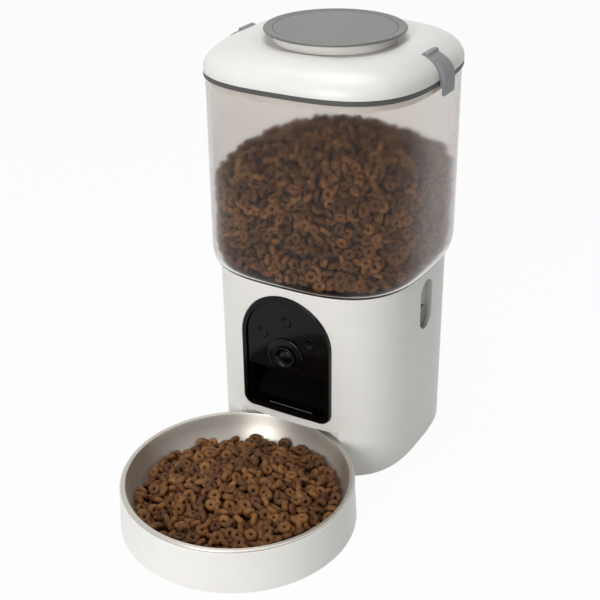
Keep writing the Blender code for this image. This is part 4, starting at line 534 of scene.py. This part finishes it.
def shoulderPoint(turn, offset):  # (half width, height) on the lid's shoulder, moved outwards by the offset
    across, up = math.cos(turn), math.sin(turn)
    length = math.hypot(lid["rise"] * across, lid["run"] * up)
    return (lid["half"] - lid["run"] + lid["run"] * across + offset * lid["rise"] * across / length,
            shoulderZ + lid["rise"] * up + offset * lid["run"] * up / length)


def barrelArc(reach, depth):  # round the pin, from under the latch's arm to its outer face
    turn = math.radians(lid["pivotTurn"])
    normal = math.atan2(lid["run"] * math.sin(turn), lid["rise"] * math.cos(turn))
    pivot = shoulderPoint(turn, -lid["pinDepth"])
    start = normal + 1.5 * math.pi - math.asin((depth - lid["pinDepth"]) / reach)
    return [(pivot[0] + reach * math.cos(start + (normal - start) * step / 24),
             pivot[1] + reach * math.sin(start + (normal - start) * step / 24)) for step in range(25)]


def underArm(reach, depth):
    turn = math.radians(lid["pivotTurn"])
    pivot = shoulderPoint(turn, -lid["pinDepth"])
    points = [shoulderPoint(turn * step / 12, -depth) for step in range(12)]
    return [point for point in points if math.dist(point, pivot) > reach + depth]


def makeLid():
    power, wall = lid["power"], lid["wall"]
    rings = [(lid["half"], lid["low"], power)]
    turns = [math.pi / 2 * step / 18 for step in range(19)]
    rings += [(*shoulderPoint(turn, 0), power) for turn in turns]
    crown, dish = lid["half"] - lid["run"], lid["dishRadius"]
    for step in range(1, 6):  # from the shoulder's crown down into the round dish under the cap
        share = step / 5
        blend = share * share * (3 - 2 * share)
        rings.append((crown + (dish - crown) * share, lidTop - lid["dish"] * blend, power + (2 - power) * blend))
    dishZ = lidTop - lid["dish"]
    neck, neckZ = lid["neckRadius"], dishZ + lid["neckHeight"]
    rings += [(neck, dishZ, 2), (neck, neckZ, 2), (neck - lid["neckWall"], neckZ, 2),
        (neck - lid["neckWall"], dishZ - wall, 2), (dish, dishZ - wall, 2)]
    rings += [(*shoulderPoint(turn, -wall), power) for turn in turns[::-2]]
    skirt, low = lid["skirt"], lid["low"] - lid["skirtDepth"]
    inner = skirt - lid["skirtWall"]
    rings += [(inner, shoulderZ, power), (inner, low, power), (skirt, low, power), (skirt, lid["low"], power)]
    shell = loftRings("lidMoulding", rings, closed=True, steps=144)
    pivot = shoulderPoint(math.radians(lid["pivotTurn"]), -lid["pinDepth"])
    blockTurns = [math.radians(lid["pivotTurn"]) * 1.4 * step / 10 for step in range(11)]
    block = [shoulderPoint(turn, -wall / 2) for turn in blockTurns]
    low = shoulderZ - lid["edge"] / 2
    block += [(pivot[0] - lid["barrel"] - wall, low + wall), (pivot[0], low), (block[0][0], low)]
    reach, depth = lid["barrel"] + 0.0003, lid["inlay"] + 0.0003
    slot = barrelArc(reach, depth)
    slot.append(shoulderPoint(math.radians(lid["pivotTurn"]), lid["rise"]))
    far = lid["half"] + lid["proud"] + 0.004
    slot += [(far, lidTop + 0.004), (far, lid["low"] - 0.0036), (shoulderPoint(0, -depth)[0], lid["low"] - 0.0036)]
    slot += underArm(reach, depth)
    sides = (1, -1)
    for side in sides:
        thick = lid["latchHalf"] + 0.0055
        carve(shell, plateOf(f"latchBlock{side}", [(side * u, v) for u, v in block], -thick, thick), "UNION")
    for side in sides:
        bore = lid["latchHalf"] + 0.0035
        carve(shell, rodOf(f"pinBore{side}", lid["pinBore"], -bore, bore, (side * pivot[0], towerY, pivot[1]),
            "front", 24))
    for side in sides:
        room = lid["latchHalf"] + 0.0006
        carve(shell, plateOf(f"latchSlot{side}", [(side * u, v) for u, v in slot], -room, room))
    settle(shell, 0.00035)
    finishPiece(shell, whitePlastic, "lid", "white_plastic", "lid_shell", sharp=36)
    return pivot


def makeLatches(pivot):
    outline = barrelArc(lid["barrel"], lid["inlay"])
    turn = math.radians(lid["pivotTurn"])
    for step in range(1, 19):
        share = step / 18
        outline.append(shoulderPoint(turn * (1 - share), lid["crest"] + (lid["proud"] - lid["crest"]) * share))
    outer = lid["half"] + lid["proud"]
    lipEnd, padEnd, lipBack = lid["low"] - lid["lipDrop"], lid["low"] - lid["padDrop"], outer - lid["lipThick"]
    outline += [(outer, lipEnd), (lipBack, lipEnd), (lipBack, padEnd), (lid["half"] + 0.0003, padEnd)]
    outline += [(lid["half"] + 0.0003, lid["low"]), (lid["half"] - lid["inlay"], lid["low"])]
    outline += underArm(lid["barrel"] + 0.0003, lid["inlay"])
    for side, name in ((-1, "left"), (1, "right")):
        latch = plateOf(f"{name}Latch", [(side * u, v) for u, v in outline], -lid["latchHalf"], lid["latchHalf"])
        carve(latch, rodOf(f"latchBore{name}", lid["pinBore"], -0.02, 0.02, (side * pivot[0], towerY, pivot[1]),
            "front", 24))
        settle(latch, 0.0006)
        finishPiece(latch, latchPlastic, f"latch_{name}", "latch_plastic", f"latch_{name}")


makeLatches(makeLid())
print("lid and latches made")


# the round cap in the lid, with its grey disc

cap = {"foot": 0.3485, "collarTop": 0.3563, "collarRadius": 0.0492, "collarFoot": 0.0484, "bore": 0.0443,
       "low": 0.3566, "top": 0.3587, "radius": 0.0561, "disc": 0.0486, "fall": 0.0008, "discThick": 0.0007}


def makeCap():
    centre = (0, towerY, 0)
    step = cap["foot"] + 0.0046  # a faint step runs round the collar
    profile = [(cap["bore"], cap["collarTop"]), (cap["collarRadius"], cap["collarTop"], 0.0006),
        (cap["collarRadius"], step, 0.0002),
        (cap["collarRadius"] - 0.0004, step - 0.0003, 0.0002), (cap["collarFoot"], cap["foot"], 0.0004),
        (cap["bore"], cap["foot"])]
    finishPiece(spinProfile("capCollar", profile, centre, steps=128, closed=True), whitePlastic, "cap",
        "white_plastic", "cap_collar")
    seat = cap["top"] - cap["fall"] - cap["discThick"]
    well = cap["disc"] + 0.0003
    profile = [(0, seat), (well, seat), (well, cap["top"] - cap["fall"], 0.0002),
        (cap["radius"] - 0.0010, cap["top"], 0.0004),
        (cap["radius"], cap["top"] - 0.0007, 0.0004), (cap["radius"], cap["low"] + 0.0006, 0.0004),
        (cap["radius"] - 0.0007, cap["low"], 0.0003), (0, cap["low"])]
    finishPiece(spinProfile("capRim", profile, centre, steps=160), ringPlastic, "cap", "grey_plastic",
        "cap_rim", sharp=28)
    profile = [(0, seat + cap["discThick"]), (cap["disc"], seat + cap["discThick"], 0.0002),
        (cap["disc"], seat + 0.0003), (0, seat + 0.0003)]
    finishPiece(spinProfile("capDisc", profile, centre, steps=160), greyPlastic, "cap", "grey_plastic", "cap_disc")


makeCap()
print("cap made")


# the black panel with the camera, three buttons and the food's mouth

panel = {
    "half": 0.0410, "low": 0.0508, "top": 0.1610, "corner": 0.0095, "front": 0.0868, "back": 0.0764, "edge": 0.0012,
    "rim": 0.0042, "faceSink": 0.0020, "faceThick": 0.0025, "mouthLow": 0.0570, "mouthTop": 0.0915,
    "mouthHalf": 0.0345, "mouthCorner": 0.0030,
    "cameraZ": 0.1060, "ringRadius": 0.0165, "ringProud": 0.0014, "barrelRadius": 0.0097, "barrelProud": 0.0038,
    "lensRadius": 0.0056,
    "buttonRadius": 0.0049, "buttons": {"left": (-0.0217, 0.1233), "top": (0, 0.1378), "right": (0.0217, 0.1233)},
    "lightZ": 0.1483, "lightRadius": 0.0008, "releaseRadius": 0.0085,
    "beadRadius": 0.0006, "beadLeft": -0.0170, "beadRight": 0.0240,
}


def makePanel():
    front, back = panel["front"], panel["back"]
    faceFront = front - panel["faceSink"]
    faceBack = faceFront - panel["faceThick"]
    bezel = plateOf("panelBezel", archCorners(panel["half"], panel["low"], panel["top"], panel["corner"]), back,
        front, edge=panel["edge"], segments=28)
    flange = archCorners(panel["half"] + 0.003, panel["low"] - 0.003, panel["top"] + 0.003, panel["corner"] + 0.003)
    carve(bezel, plateOf("flange", flange, back - 0.0001, back + 0.002, segments=20), "UNION")
    inner = panel["half"] - panel["rim"]
    pocket = archCorners(inner, panel["mouthLow"], panel["top"] - panel["rim"], panel["mouthCorner"])
    carve(bezel, plateOf("pocket", pocket, faceBack - 0.0003, front + 0.01, segments=24))
    half, low, top, corner = panel["mouthHalf"], panel["mouthLow"], panel["mouthTop"], panel["mouthCorner"]
    mouth = boxCorners(-half, low, half, top, corner)
    carve(bezel, plateOf("mouth", mouth, back - 0.01, front + 0.01, segments=8))
    carve(bezel, plateOf("upperHole", archCorners(inner - 0.003, top + 0.004,
        panel["top"] - panel["rim"] - 0.003, corner), back - 0.01, front + 0.01, segments=20))
    settle(bezel, 0.0004)
    finishPiece(bezel, glossBlack, "base", "gloss_black", "panel_bezel", sharp=30)
    face = plateOf("panelFace", archCorners(inner - 0.0003, top + 0.0003, panel["top"] - panel["rim"] - 0.0003,
        corner), faceBack, faceFront, edge=0.0003, segments=24)
    for name, (x, z) in panel["buttons"].items():
        carve(face, rodOf(f"hole{name}", panel["buttonRadius"] + 0.0003, faceBack - 0.01, faceFront + 0.01,
            (x, towerY, z), "front"))
    carve(face, rodOf("lightHole", panel["lightRadius"] + 0.0003, faceBack - 0.01, faceFront + 0.01,
        (0, towerY, panel["lightZ"]), "front", 24))
    carve(face, rodOf("cameraHole", panel["barrelRadius"] + 0.0003, faceBack - 0.01, faceFront + 0.01,
        (0, towerY, panel["cameraZ"]), "front"))
    settle(face, 0.0003)
    finishPiece(face, glossBlack, "base", "gloss_black", "panel_face", sharp=30)
    return faceFront, faceBack


def makeCamera(faceFront):
    place = (0, towerY, panel["cameraZ"])
    low, bore = faceFront + 0.0003, panel["barrelRadius"] + 0.0003
    top = low + panel["ringProud"]
    profile = [(bore, top, 0.0003), (panel["ringRadius"] - 0.0006, top - 0.0002, 0.0002),
        (panel["ringRadius"], top - 0.0006, 0.0002), (panel["ringRadius"], low), (bore, low)]
    finishPiece(spinProfile("cameraRing", profile, place, "front", closed=True), glossBlack, "base",
        "gloss_black", "camera_ring")
    top = faceFront + panel["barrelProud"]
    seat = top - 0.0028
    floor = seat - 0.0022
    well, radius = panel["lensRadius"] + 0.0003, panel["barrelRadius"]
    profile = [(0, floor), (well, floor), (well, seat, 0.0002), (0.0066, seat + 0.0007, 0.0002),
        (0.0066, seat + 0.0012, 0.0002),
        (0.0073, seat + 0.0016, 0.0002), (radius - 0.0018, top, 0.0004), (radius, top, 0.0006),
        (radius, top - 0.0155), (0, top - 0.0155)]
    finishPiece(spinProfile("cameraBarrel", profile, place, "front"), glossBlack, "base", "gloss_black",
        "camera_barrel")
    profile = [(0, seat + 0.0012)]
    for step in range(1, 9):
        turn = math.pi / 2 * step / 8
        profile.append((panel["lensRadius"] * math.sin(turn), seat + 0.0012 * math.cos(turn)))
    profile += [(panel["lensRadius"], floor + 0.0003), (0, floor + 0.0003)]
    finishPiece(spinProfile("cameraLens", profile, place, "front", 64), lensGlass, "base", "lens_glass", "lens_glass")


def makeSill(faceFront):  # a small bead along the mouth's lower lip, which catches the light
    place = (0, towerY - faceFront + 0.0008, panel["mouthLow"] + 0.0002)
    bead = rodOf("sillBead", panel["beadRadius"], panel["beadLeft"], panel["beadRight"], place, "right", 16)
    finishPiece(bead, beadBlack, "base", "gloss_black")


def makeButtons(faceFront, faceBack):
    top, shoulder, radius = faceFront + 0.0006, faceBack - 0.0003, panel["buttonRadius"]
    for name, (x, z) in panel["buttons"].items():
        profile = [(0, top - 0.0003), (radius * 0.45, top - 0.00025), (radius * 0.8, top - 0.0001),
            (radius - 0.0002, top, 0.0003), (radius, top - 0.0006, 0.0002),
            (radius, shoulder), (radius + 0.001, shoulder), (radius + 0.001, shoulder - 0.0011),
            (0, shoulder - 0.0011)]
        finishPiece(spinProfile(f"{name}Button", profile, (x, towerY, z), "front", 64), glossBlack,
            f"button_{name}", "gloss_black", f"button_{name}")
    profile = [(0, faceFront), (panel["lightRadius"], faceFront), (panel["lightRadius"], faceFront - 0.005),
        (0, faceFront - 0.005)]
    finishPiece(spinProfile("lightWindow", profile, (0, towerY, panel["lightZ"]), "front", 24), lightLens,
        "base", "pale_silicone", "status_light")
    releaseTop, back = base["recessFloor"] + 0.0019, base["recessFloor"] - 0.0051
    radius = panel["releaseRadius"]
    for name in ("left", "right"):
        profile = [(0, releaseTop - 0.0006), (radius * 0.5, releaseTop - 0.0005),
            (radius * 0.85, releaseTop - 0.0002), (radius - 0.0004, releaseTop, 0.0005),
            (radius, releaseTop - 0.0009, 0.0004),
            (radius, back), (radius + 0.0016, back), (radius + 0.0016, back - 0.002), (0, back - 0.002)]
        piece = spinProfile(f"{name}Release", profile, (0, towerY, base["releaseZ"]), name, 80)
        finishPiece(piece, greyPlastic, f"release_button_{name}", "grey_plastic", f"release_button_{name}")


faceFront, faceBack = makePanel()
makeCamera(faceFront)
makeSill(faceFront)
makeButtons(faceFront, faceBack)
print("panel, camera and buttons made")


# the bowl and its holder

dish = {
    "holderRadius": 0.0931, "holderFoot": 0.0948, "holderTop": 0.0368, "holderLow": 0.0006,
    "holderWall": 0.0026, "holderFloor": 0.0022,
    "padOuter": 0.0743, "padInner": 0.0637,
    "lipRadius": 0.0923, "lipWidth": 0.0039, "lipLow": 0.0371, "lipTop": 0.0383, "wall": 0.0010, "under": 0.0048,
    "curve": ((0.0, 1.0), (0.006, 0.90), (0.02, 0.72), (0.04, 0.54), (0.07, 0.38), (0.10, 0.26), (0.14, 0.16),
    (0.19, 0.085), (0.25, 0.04), (0.34, 0.012), (0.45, 0.002), (0.70, 0.0)),
}


def bowlInside():  # (radius, height) of the steel's inner face, from the floor out to the lip
    span, floor = dish["lipRadius"] - dish["lipWidth"], dish["under"] + dish["wall"]
    return [(span * (1 - inward), floor + (dish["lipTop"] - floor) * up) for inward, up in dish["curve"]][::-1]


def makeBowl():
    centre = (0, bowlY, 0)
    radius, foot, top, low = dish["holderRadius"], dish["holderFoot"], dish["holderTop"], dish["holderLow"]
    inner, floor = radius - dish["holderWall"], low + dish["holderFloor"]
    profile = [(0, floor), (inner - 0.0022, floor), (inner, floor + 0.0022), (inner, top, 0.0004),
        (radius, top, 0.0008), (radius + 0.0004, top - 0.012),
        (foot, low, 0.0012), (dish["padOuter"], low), (dish["padOuter"], low + 0.001),
        (dish["padInner"], low + 0.001), (dish["padInner"], low), (0, low)]
    finishPiece(spinProfile("bowlHolder", profile, centre, steps=160), whitePlastic, "holder", "white_plastic",
        "bowl_holder")
    inside = bowlInside()
    lipTop, lipLow, lip, wall = dish["lipTop"], dish["lipLow"], dish["lipRadius"], dish["wall"]
    start = radius - dish["holderWall"] - 0.0003 - wall
    profile = [(0, dish["under"] + wall)] + inside[:-1]
    profile += [(inside[-1][0], inside[-1][1] - 0.0008), (inside[-1][0] + 0.0003, lipTop - 0.0002),
        (inside[-1][0] + 0.0009, lipTop)]
    profile += [(lip - 0.0006, lipTop, 0.0003), (lip, lipTop - 0.0006, 0.0003), (lip, lipLow), (start, lipLow)]
    profile += [(min(r + wall, start), z - wall) for r, z in inside[::-1][1:]] + [(0, dish["under"])]
    finishPiece(spinProfile("steelBowl", profile, centre, steps=160), bowlSteel, "bowl", "brushed_steel",
        "bowl", sharp=40)


makeBowl()
print("bowl and holder made")


# the nodes whose own shape is right

refineNode("bowl_dock", whitePlastic, sharp=20)
refineNode("bottom_cover", whitePlastic, 0.0004)
refineNode("battery_door", whitePlastic, 0.0003)
refineNode("hopper_deck", whitePlastic, sharp=28)
for name in ("foot_front_left", "foot_rear_left", "foot_front_right", "foot_rear_right", "holder_pad"):
    refineNode(name, footRubber)
for name in ("cover_screw_1", "cover_screw_2", "cover_screw_3", "cover_screw_4", "latch_pin_left", "latch_pin_right"):
    refineNode(name, plainSteel)
for name in ("gear_motor", "radio_module", "motor_pinion"):
    refineNode(name, plainSteel, 0.0001)
for name in ("battery_tray", "drive_bracket", "drive_gear", "desiccant_cup", "stirrer", "portion_shield"):
    refineNode(name, naturalPlastic, 0.0001)
for name in ("dispensing_rotor", "button_mat"):
    refineNode(name, paleSilicone)
for name in ("battery_cell_1", "battery_cell_2", "battery_cell_3"):
    refineNode(name, cellSleeve, 0.0006)
for name in ("camera_board", "button_board", "main_board"):
    refineNode(name, boardGreen)
for name in ("chute", "speaker", "power_socket"):
    refineNode(name, satinBlack, 0.0001)
print("other parts finished")


# the dry food: baked rings, only here, because the CAD's hollows stay open

food = {
    "outer": 0.0056, "hole": 0.0009, "halfThick": 0.0024, "spacing": 0.0065, "kinds": 7, "seed": 11,
    "hopperEdge": 0.2495, "hopperCrown": 0.0320, "hopperLean": 0.0020, "hopperDepth": 0.0085, "lumps": 0.0030,
    "lumpSize": 0.017,
    "bowlEdge": 0.0150, "bowlCrown": 0.0180, "bowlReach": 0.0800, "bowlDepth": 0.0090,
}


def ringKind(index, around, tube):  # one baked ring, a little out of round
    bm = bmesh.new()
    circle = bmesh.ops.create_circle(bm, segments=tube, radius=1)["verts"]
    across = (food["outer"] - food["hole"]) / 2
    for vert in circle:
        flat = math.copysign(abs(vert.co.y) ** 0.75, vert.co.y)
        vert.co = (food["hole"] + across + across * vert.co.x, 0, food["halfThick"] * flat)
    turnAround(bm, around)
    bmesh.ops.remove_doubles(bm, verts=bm.verts, dist=0.00001)
    bmesh.ops.recalc_face_normals(bm, faces=bm.faces)
    for vert in bm.verts:
        swell = noise.noise(vert.co * 260 + Vector((index * 5.3, 0, 0)))
        vert.co = vert.co * (1 + 0.13 * swell)
    mesh = bpy.data.meshes.new(f"ringKind{index}")
    bm.to_mesh(mesh)
    bm.free()
    return mesh


def heapHeight(x, y):  # the food's top in the hopper
    away = min(1, math.hypot(x, y) / 0.0900)
    lump = food["lumps"] * noise.noise(Vector((x, y, 0)) / food["lumpSize"])
    return food["hopperEdge"] + food["hopperCrown"] * (1 - away ** 1.5) + food["hopperLean"] * x / 0.09 + lump


def hopperWall(z):  # the half width inside the clear wall
    sides = hopperSide()
    for (lowHalf, lowZ), (highHalf, highZ) in zip(sides, sides[1:]):
        if z <= highZ:
            share = max(0, (z - lowZ) / (highZ - lowZ))
            return lowHalf + (highHalf - lowHalf) * share - hopper["wall"]
    return hopper["topHalf"] - hopper["wall"]


def wallRoom(x, y, half):  # how far a point is inside the rounded square, and the way to its wall
    power = hopper["power"]
    reach = (abs(x) ** power + abs(y) ** power) ** (1 / power)
    way = Vector((math.copysign(abs(x / half) ** (power - 1), x), math.copysign(abs(y / half) ** (power - 1), y), 0))
    steep = way.length / max(reach / half, 0.01) ** (power - 1)
    return (half - reach) / max(steep, 0.3), way.normalized()


def bowlTop(x, y):
    away = min(1.05, math.hypot(x, y) / food["bowlReach"])
    return food["bowlEdge"] + food["bowlCrown"] * (1 - away ** 2.2)


def bowlFace(reach):  # the height of the steel at this radius
    points = bowlInside()
    for (lowR, lowZ), (highR, highZ) in zip(points, points[1:]):
        if lowR <= reach <= highR:
            return lowZ + (highZ - lowZ) * (reach - lowR) / (highR - lowR)
    return points[0][1] if reach < points[0][0] else points[-1][1]


def tossed(rng, up, flat):  # a way for the ring's axis to point, near up when flat is high
    loose = Vector((rng.gauss(0, 1), rng.gauss(0, 1), rng.gauss(0, 1))).normalized()
    return (up * flat + loose).normalized()


def halfExtent(axis, way):  # how far a ring reaches along a way from its middle
    along = axis.dot(way)
    return math.sqrt((food["outer"] ** 2) * max(0, 1 - along * along) + (food["halfThick"] * along) ** 2)


class Crowd:  # the rings placed so far, kept apart from each other
    def __init__(self, spacing):
        self.spacing, self.cells, self.rings = spacing, {}, []

    def key(self, spot):
        return tuple(int(math.floor(value / self.spacing)) for value in spot)

    def add(self, spot, axis):
        home = self.key(spot)
        for dx in (-1, 0, 1):
            for dy in (-1, 0, 1):
                for dz in (-1, 0, 1):
                    for other in self.cells.get((home[0] + dx, home[1] + dy, home[2] + dz), ()):
                        if (other - spot).length < self.spacing:
                            return
        self.cells.setdefault(home, []).append(spot)
        self.rings.append((spot, axis))


def ringsObject(name, crowd, rng, around, tube, centre):
    kinds = [ringKind(index, around, tube) for index in range(food["kinds"])]
    bm = bmesh.new()
    tints = []
    for spot, axis in crowd.rings:
        kind = kinds[rng.randrange(len(kinds))]
        turned = axis.to_track_quat("Z", "Y").to_matrix().to_4x4() @ Matrix.Rotation(rng.uniform(0, math.tau), 4, "Z")
        size = rng.uniform(0.90, 1.06)
        move = Matrix.Translation(spot) @ turned @ Matrix.Diagonal((size, size * rng.uniform(0.93, 1.0),
            size * rng.uniform(0.85, 1.12), 1))
        copy = kind.copy()
        copy.transform(move)
        bm.from_mesh(copy)
        tints += [rng.random()] * len(copy.vertices)
        bpy.data.meshes.remove(copy)
    obj = makeObject(name, bm, centre)
    obj.data.attributes.new("toast", "FLOAT", "POINT").data.foreach_set("value", tints)
    coatIn(obj, kibbleBrown)
    return obj


def fillHopper():
    rng = random.Random(food["seed"])
    crowd = Crowd(food["spacing"])
    low = hopper["low"] + hopper["floorWall"] + 0.0002
    tries = 60000
    for _ in range(tries):  # against the clear wall
        turn, z = rng.uniform(0, math.tau), rng.uniform(low + 0.002, heapHeight(0, 0))
        half = hopperWall(z - 0.005)
        x, y = sectionPoint(turn, half - 0.0020 - food["hopperDepth"] * rng.random() ** 1.6, hopper["power"])
        room, way = wallRoom(x, y, half)
        axis = tossed(rng, way, 0.55)
        reach = halfExtent(axis, way) * 1.06 + 0.0004
        if room < reach:
            x, y = x - way.x * (reach - room), y - way.y * (reach - room)
        rest = low + halfExtent(axis, Vector((0, 0, 1))) * 1.04
        if rest - 0.004 < z < rest:
            z = rest
        if rest <= z < heapHeight(x, y) - 0.003:
            crowd.add(Vector((x, y, z)), axis)
    for _ in range(tries // 2):  # over the heap
        x, y = rng.uniform(-0.086, 0.086), rng.uniform(-0.086, 0.086)
        z = heapHeight(x, y) - 0.002 - food["hopperDepth"] * rng.random() ** 1.6
        room, way = wallRoom(x, y, hopperWall(z - 0.005))
        axis = tossed(rng, Vector((0, 0, 1)), 0.7)
        if room > halfExtent(axis, way) * 1.06 + 0.0006:
            crowd.add(Vector((x, y, z)), axis)
    obj = ringsObject("hopperFood", crowd, rng, 9, 5, (0, towerY, 0))
    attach(obj, "hopper")
    # the heart of the heap, a dark sheet of painted shade behind the rings that show
    rings = [(0.070, low + 0.0022, 2.8), (0.0775, low + 0.0060, 3.0)]
    for z in (0.190, 0.215, food["hopperEdge"] - 0.016):
        rings.append((hopperWall(z) - 0.0085, z, 3.0))
    for half in (0.066, 0.05, 0.03, 0.010):
        rings.append((half, heapHeight(-half, 0) - 0.0085, 2.4))
    heart = loftRings("hopperFoodHeart", rings, steps=48)
    coatIn(heart, paintedShadeFood)
    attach(heart, "hopper")
    print("hopper food", len(crowd.rings), "rings")


def fillBowl():
    rng = random.Random(food["seed"] + 1)
    crowd = Crowd(food["spacing"] * 0.97)
    tries = 40000
    for _ in range(tries):
        reach, turn = food["bowlReach"] * math.sqrt(rng.random()), rng.uniform(0, math.tau)
        x, y = reach * math.cos(turn), reach * math.sin(turn)
        z = bowlTop(x, y) - 0.0015 - food["bowlDepth"] * rng.random() ** 1.5
        axis = tossed(rng, Vector((-x * 3, -y * 3, 1)).normalized(), 0.8)
        out = Vector((x, y, 0)).normalized()
        up = Vector((0, 0, 1))
        needed = max(bowlFace(reach) + halfExtent(axis, up) * 0.9,
            bowlFace(min(0.0884, reach + halfExtent(axis, out) * 0.8)) + 0.0012)
        if z < needed:
            z = needed
        if z < bowlTop(x, y) + 0.0035:
            crowd.add(Vector((x, y, z)), axis)
    obj = ringsObject("bowlFood", crowd, rng, 12, 6, (0, bowlY, 0))
    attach(obj, "bowl")
    # the heart of the bowl's food, a dark sheet of painted shade under the rings that show
    floor = dish["under"] + dish["wall"] + 0.0003
    profile = [(0, bowlTop(0, 0) - 0.0085)]
    profile += [(reach, bowlTop(reach, 0) - 0.0085) for reach in (0.015, 0.03, 0.045, 0.058)]
    profile += [(0.063, floor), (0, floor)]
    heart = spinProfile("bowlFoodHeart", profile, (0, bowlY, 0), steps=48)
    coatIn(heart, paintedShadeFood)
    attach(heart, "bowl")
    print("bowl food", len(crowd.rings), "rings")


fillHopper()
fillBowl()


# floor, background, lamps and camera

def seenDirectly(material):  # 1 for the camera, and for what metal and glass show
    path = addNode(material, "ShaderNodeLightPath")
    seen = path.outputs["Is Camera Ray"]
    for ray in ("Is Glossy Ray", "Is Transmission Ray"):
        seen = addNode(material, "ShaderNodeMath", {0: seen, 1: path.outputs[ray]}, operation="MAXIMUM").outputs[0]
    return seen


stageSetup = {
    "floorHalf": 4.0, "floorWhite": 0.95, "worldLight": 0.16,
    "lamps": (  # name, place, aim, size, watts
        ("topLamp", (-0.10, 0.05, 1.80), (0, 0, 0.2), 1.2, 13.6),
        ("frontLamp", (0.10, -1.85, 0.75), (0, 0, 0.15), 1.1, 21.5),
    ),
    "azimuth": 29.66, "elevation": 27.75, "roll": -0.70, "lens": 68.68, "distance": 1.0153,
    "target": (-0.0344, 0, 0.1103),
}


def makeFloor():
    bm = bmesh.new()
    bmesh.ops.create_grid(bm, x_segments=2, y_segments=2, size=stageSetup["floorHalf"])
    floor = makeObject("floor", bm)
    material = bpy.data.materials.new("white sweep")
    material.use_nodes = True
    tree = material.node_tree
    matte = tree.nodes["Principled BSDF"]
    matte.inputs["Base Color"].default_value = linear("#f2f2f2")
    matte.inputs["Roughness"].default_value = 0.9
    glow = addNode(material, "ShaderNodeEmission", {"Color": (1, 1, 1, 1), "Strength": 1})
    share = addNode(material, "ShaderNodeMath", {0: seenDirectly(material), 1: stageSetup["floorWhite"]},
        operation="MULTIPLY")
    mix = addNode(material, "ShaderNodeMixShader", {"Fac": share.outputs[0], 1: matte.outputs[0], 2: glow.outputs[0]})
    tree.links.new(mix.outputs[0], tree.nodes["Material Output"].inputs["Surface"])
    floor.data.materials.append(material)


def makeWorld():
    world = bpy.data.worlds.new("white room")
    world.use_nodes = True
    scene.world = world
    light = world.node_tree.nodes["Background"]
    light.inputs["Color"].default_value = (1, 1, 1, 1)
    level = addNode(world, "ShaderNodeMapRange", {"Value": seenDirectly(world),
        "To Min": stageSetup["worldLight"], "To Max": 1.0}).outputs[0]
    world.node_tree.links.new(level, light.inputs["Strength"])


def makeLamps():
    for name, place, aim, size, watts in stageSetup["lamps"]:
        light = bpy.data.lights.new(name, "AREA")
        light.shape, light.size, light.energy = "DISK", size, watts
        lamp = bpy.data.objects.new(name, light)
        scene.collection.objects.link(lamp)
        lamp.matrix_world = Matrix.Translation(place) @ (Vector(place) - Vector(aim)).to_track_quat("Z",
            "Y").to_matrix().to_4x4()


def makePhotoCamera():
    turn, lift, roll = (math.radians(stageSetup[key]) for key in ("azimuth", "elevation", "roll"))
    target = Vector(stageSetup["target"]) + Vector((0, towerY, 0))
    back = Vector((math.sin(turn) * math.cos(lift), -math.cos(turn) * math.cos(lift), math.sin(lift)))
    right = (-back).cross(Vector((0, 0, 1))).normalized()
    up = right.cross(-back)
    across = right * math.cos(roll) + up * math.sin(roll)
    upright = up * math.cos(roll) - right * math.sin(roll)
    lens = bpy.data.cameras.new("photoCamera")
    lens.lens, lens.sensor_width, lens.clip_start = stageSetup["lens"], 36, 0.05
    camera = bpy.data.objects.new("photoCamera", lens)
    scene.collection.objects.link(camera)
    turned = Matrix((across, upright, back)).transposed().to_4x4()
    camera.matrix_world = Matrix.Translation(target + back * stageSetup["distance"]) @ turned
    scene.camera = camera


makeFloor()
makeWorld()
makeLamps()
makePhotoCamera()
scene.view_settings.view_transform = "Standard"
print("stage, lamps and camera made")
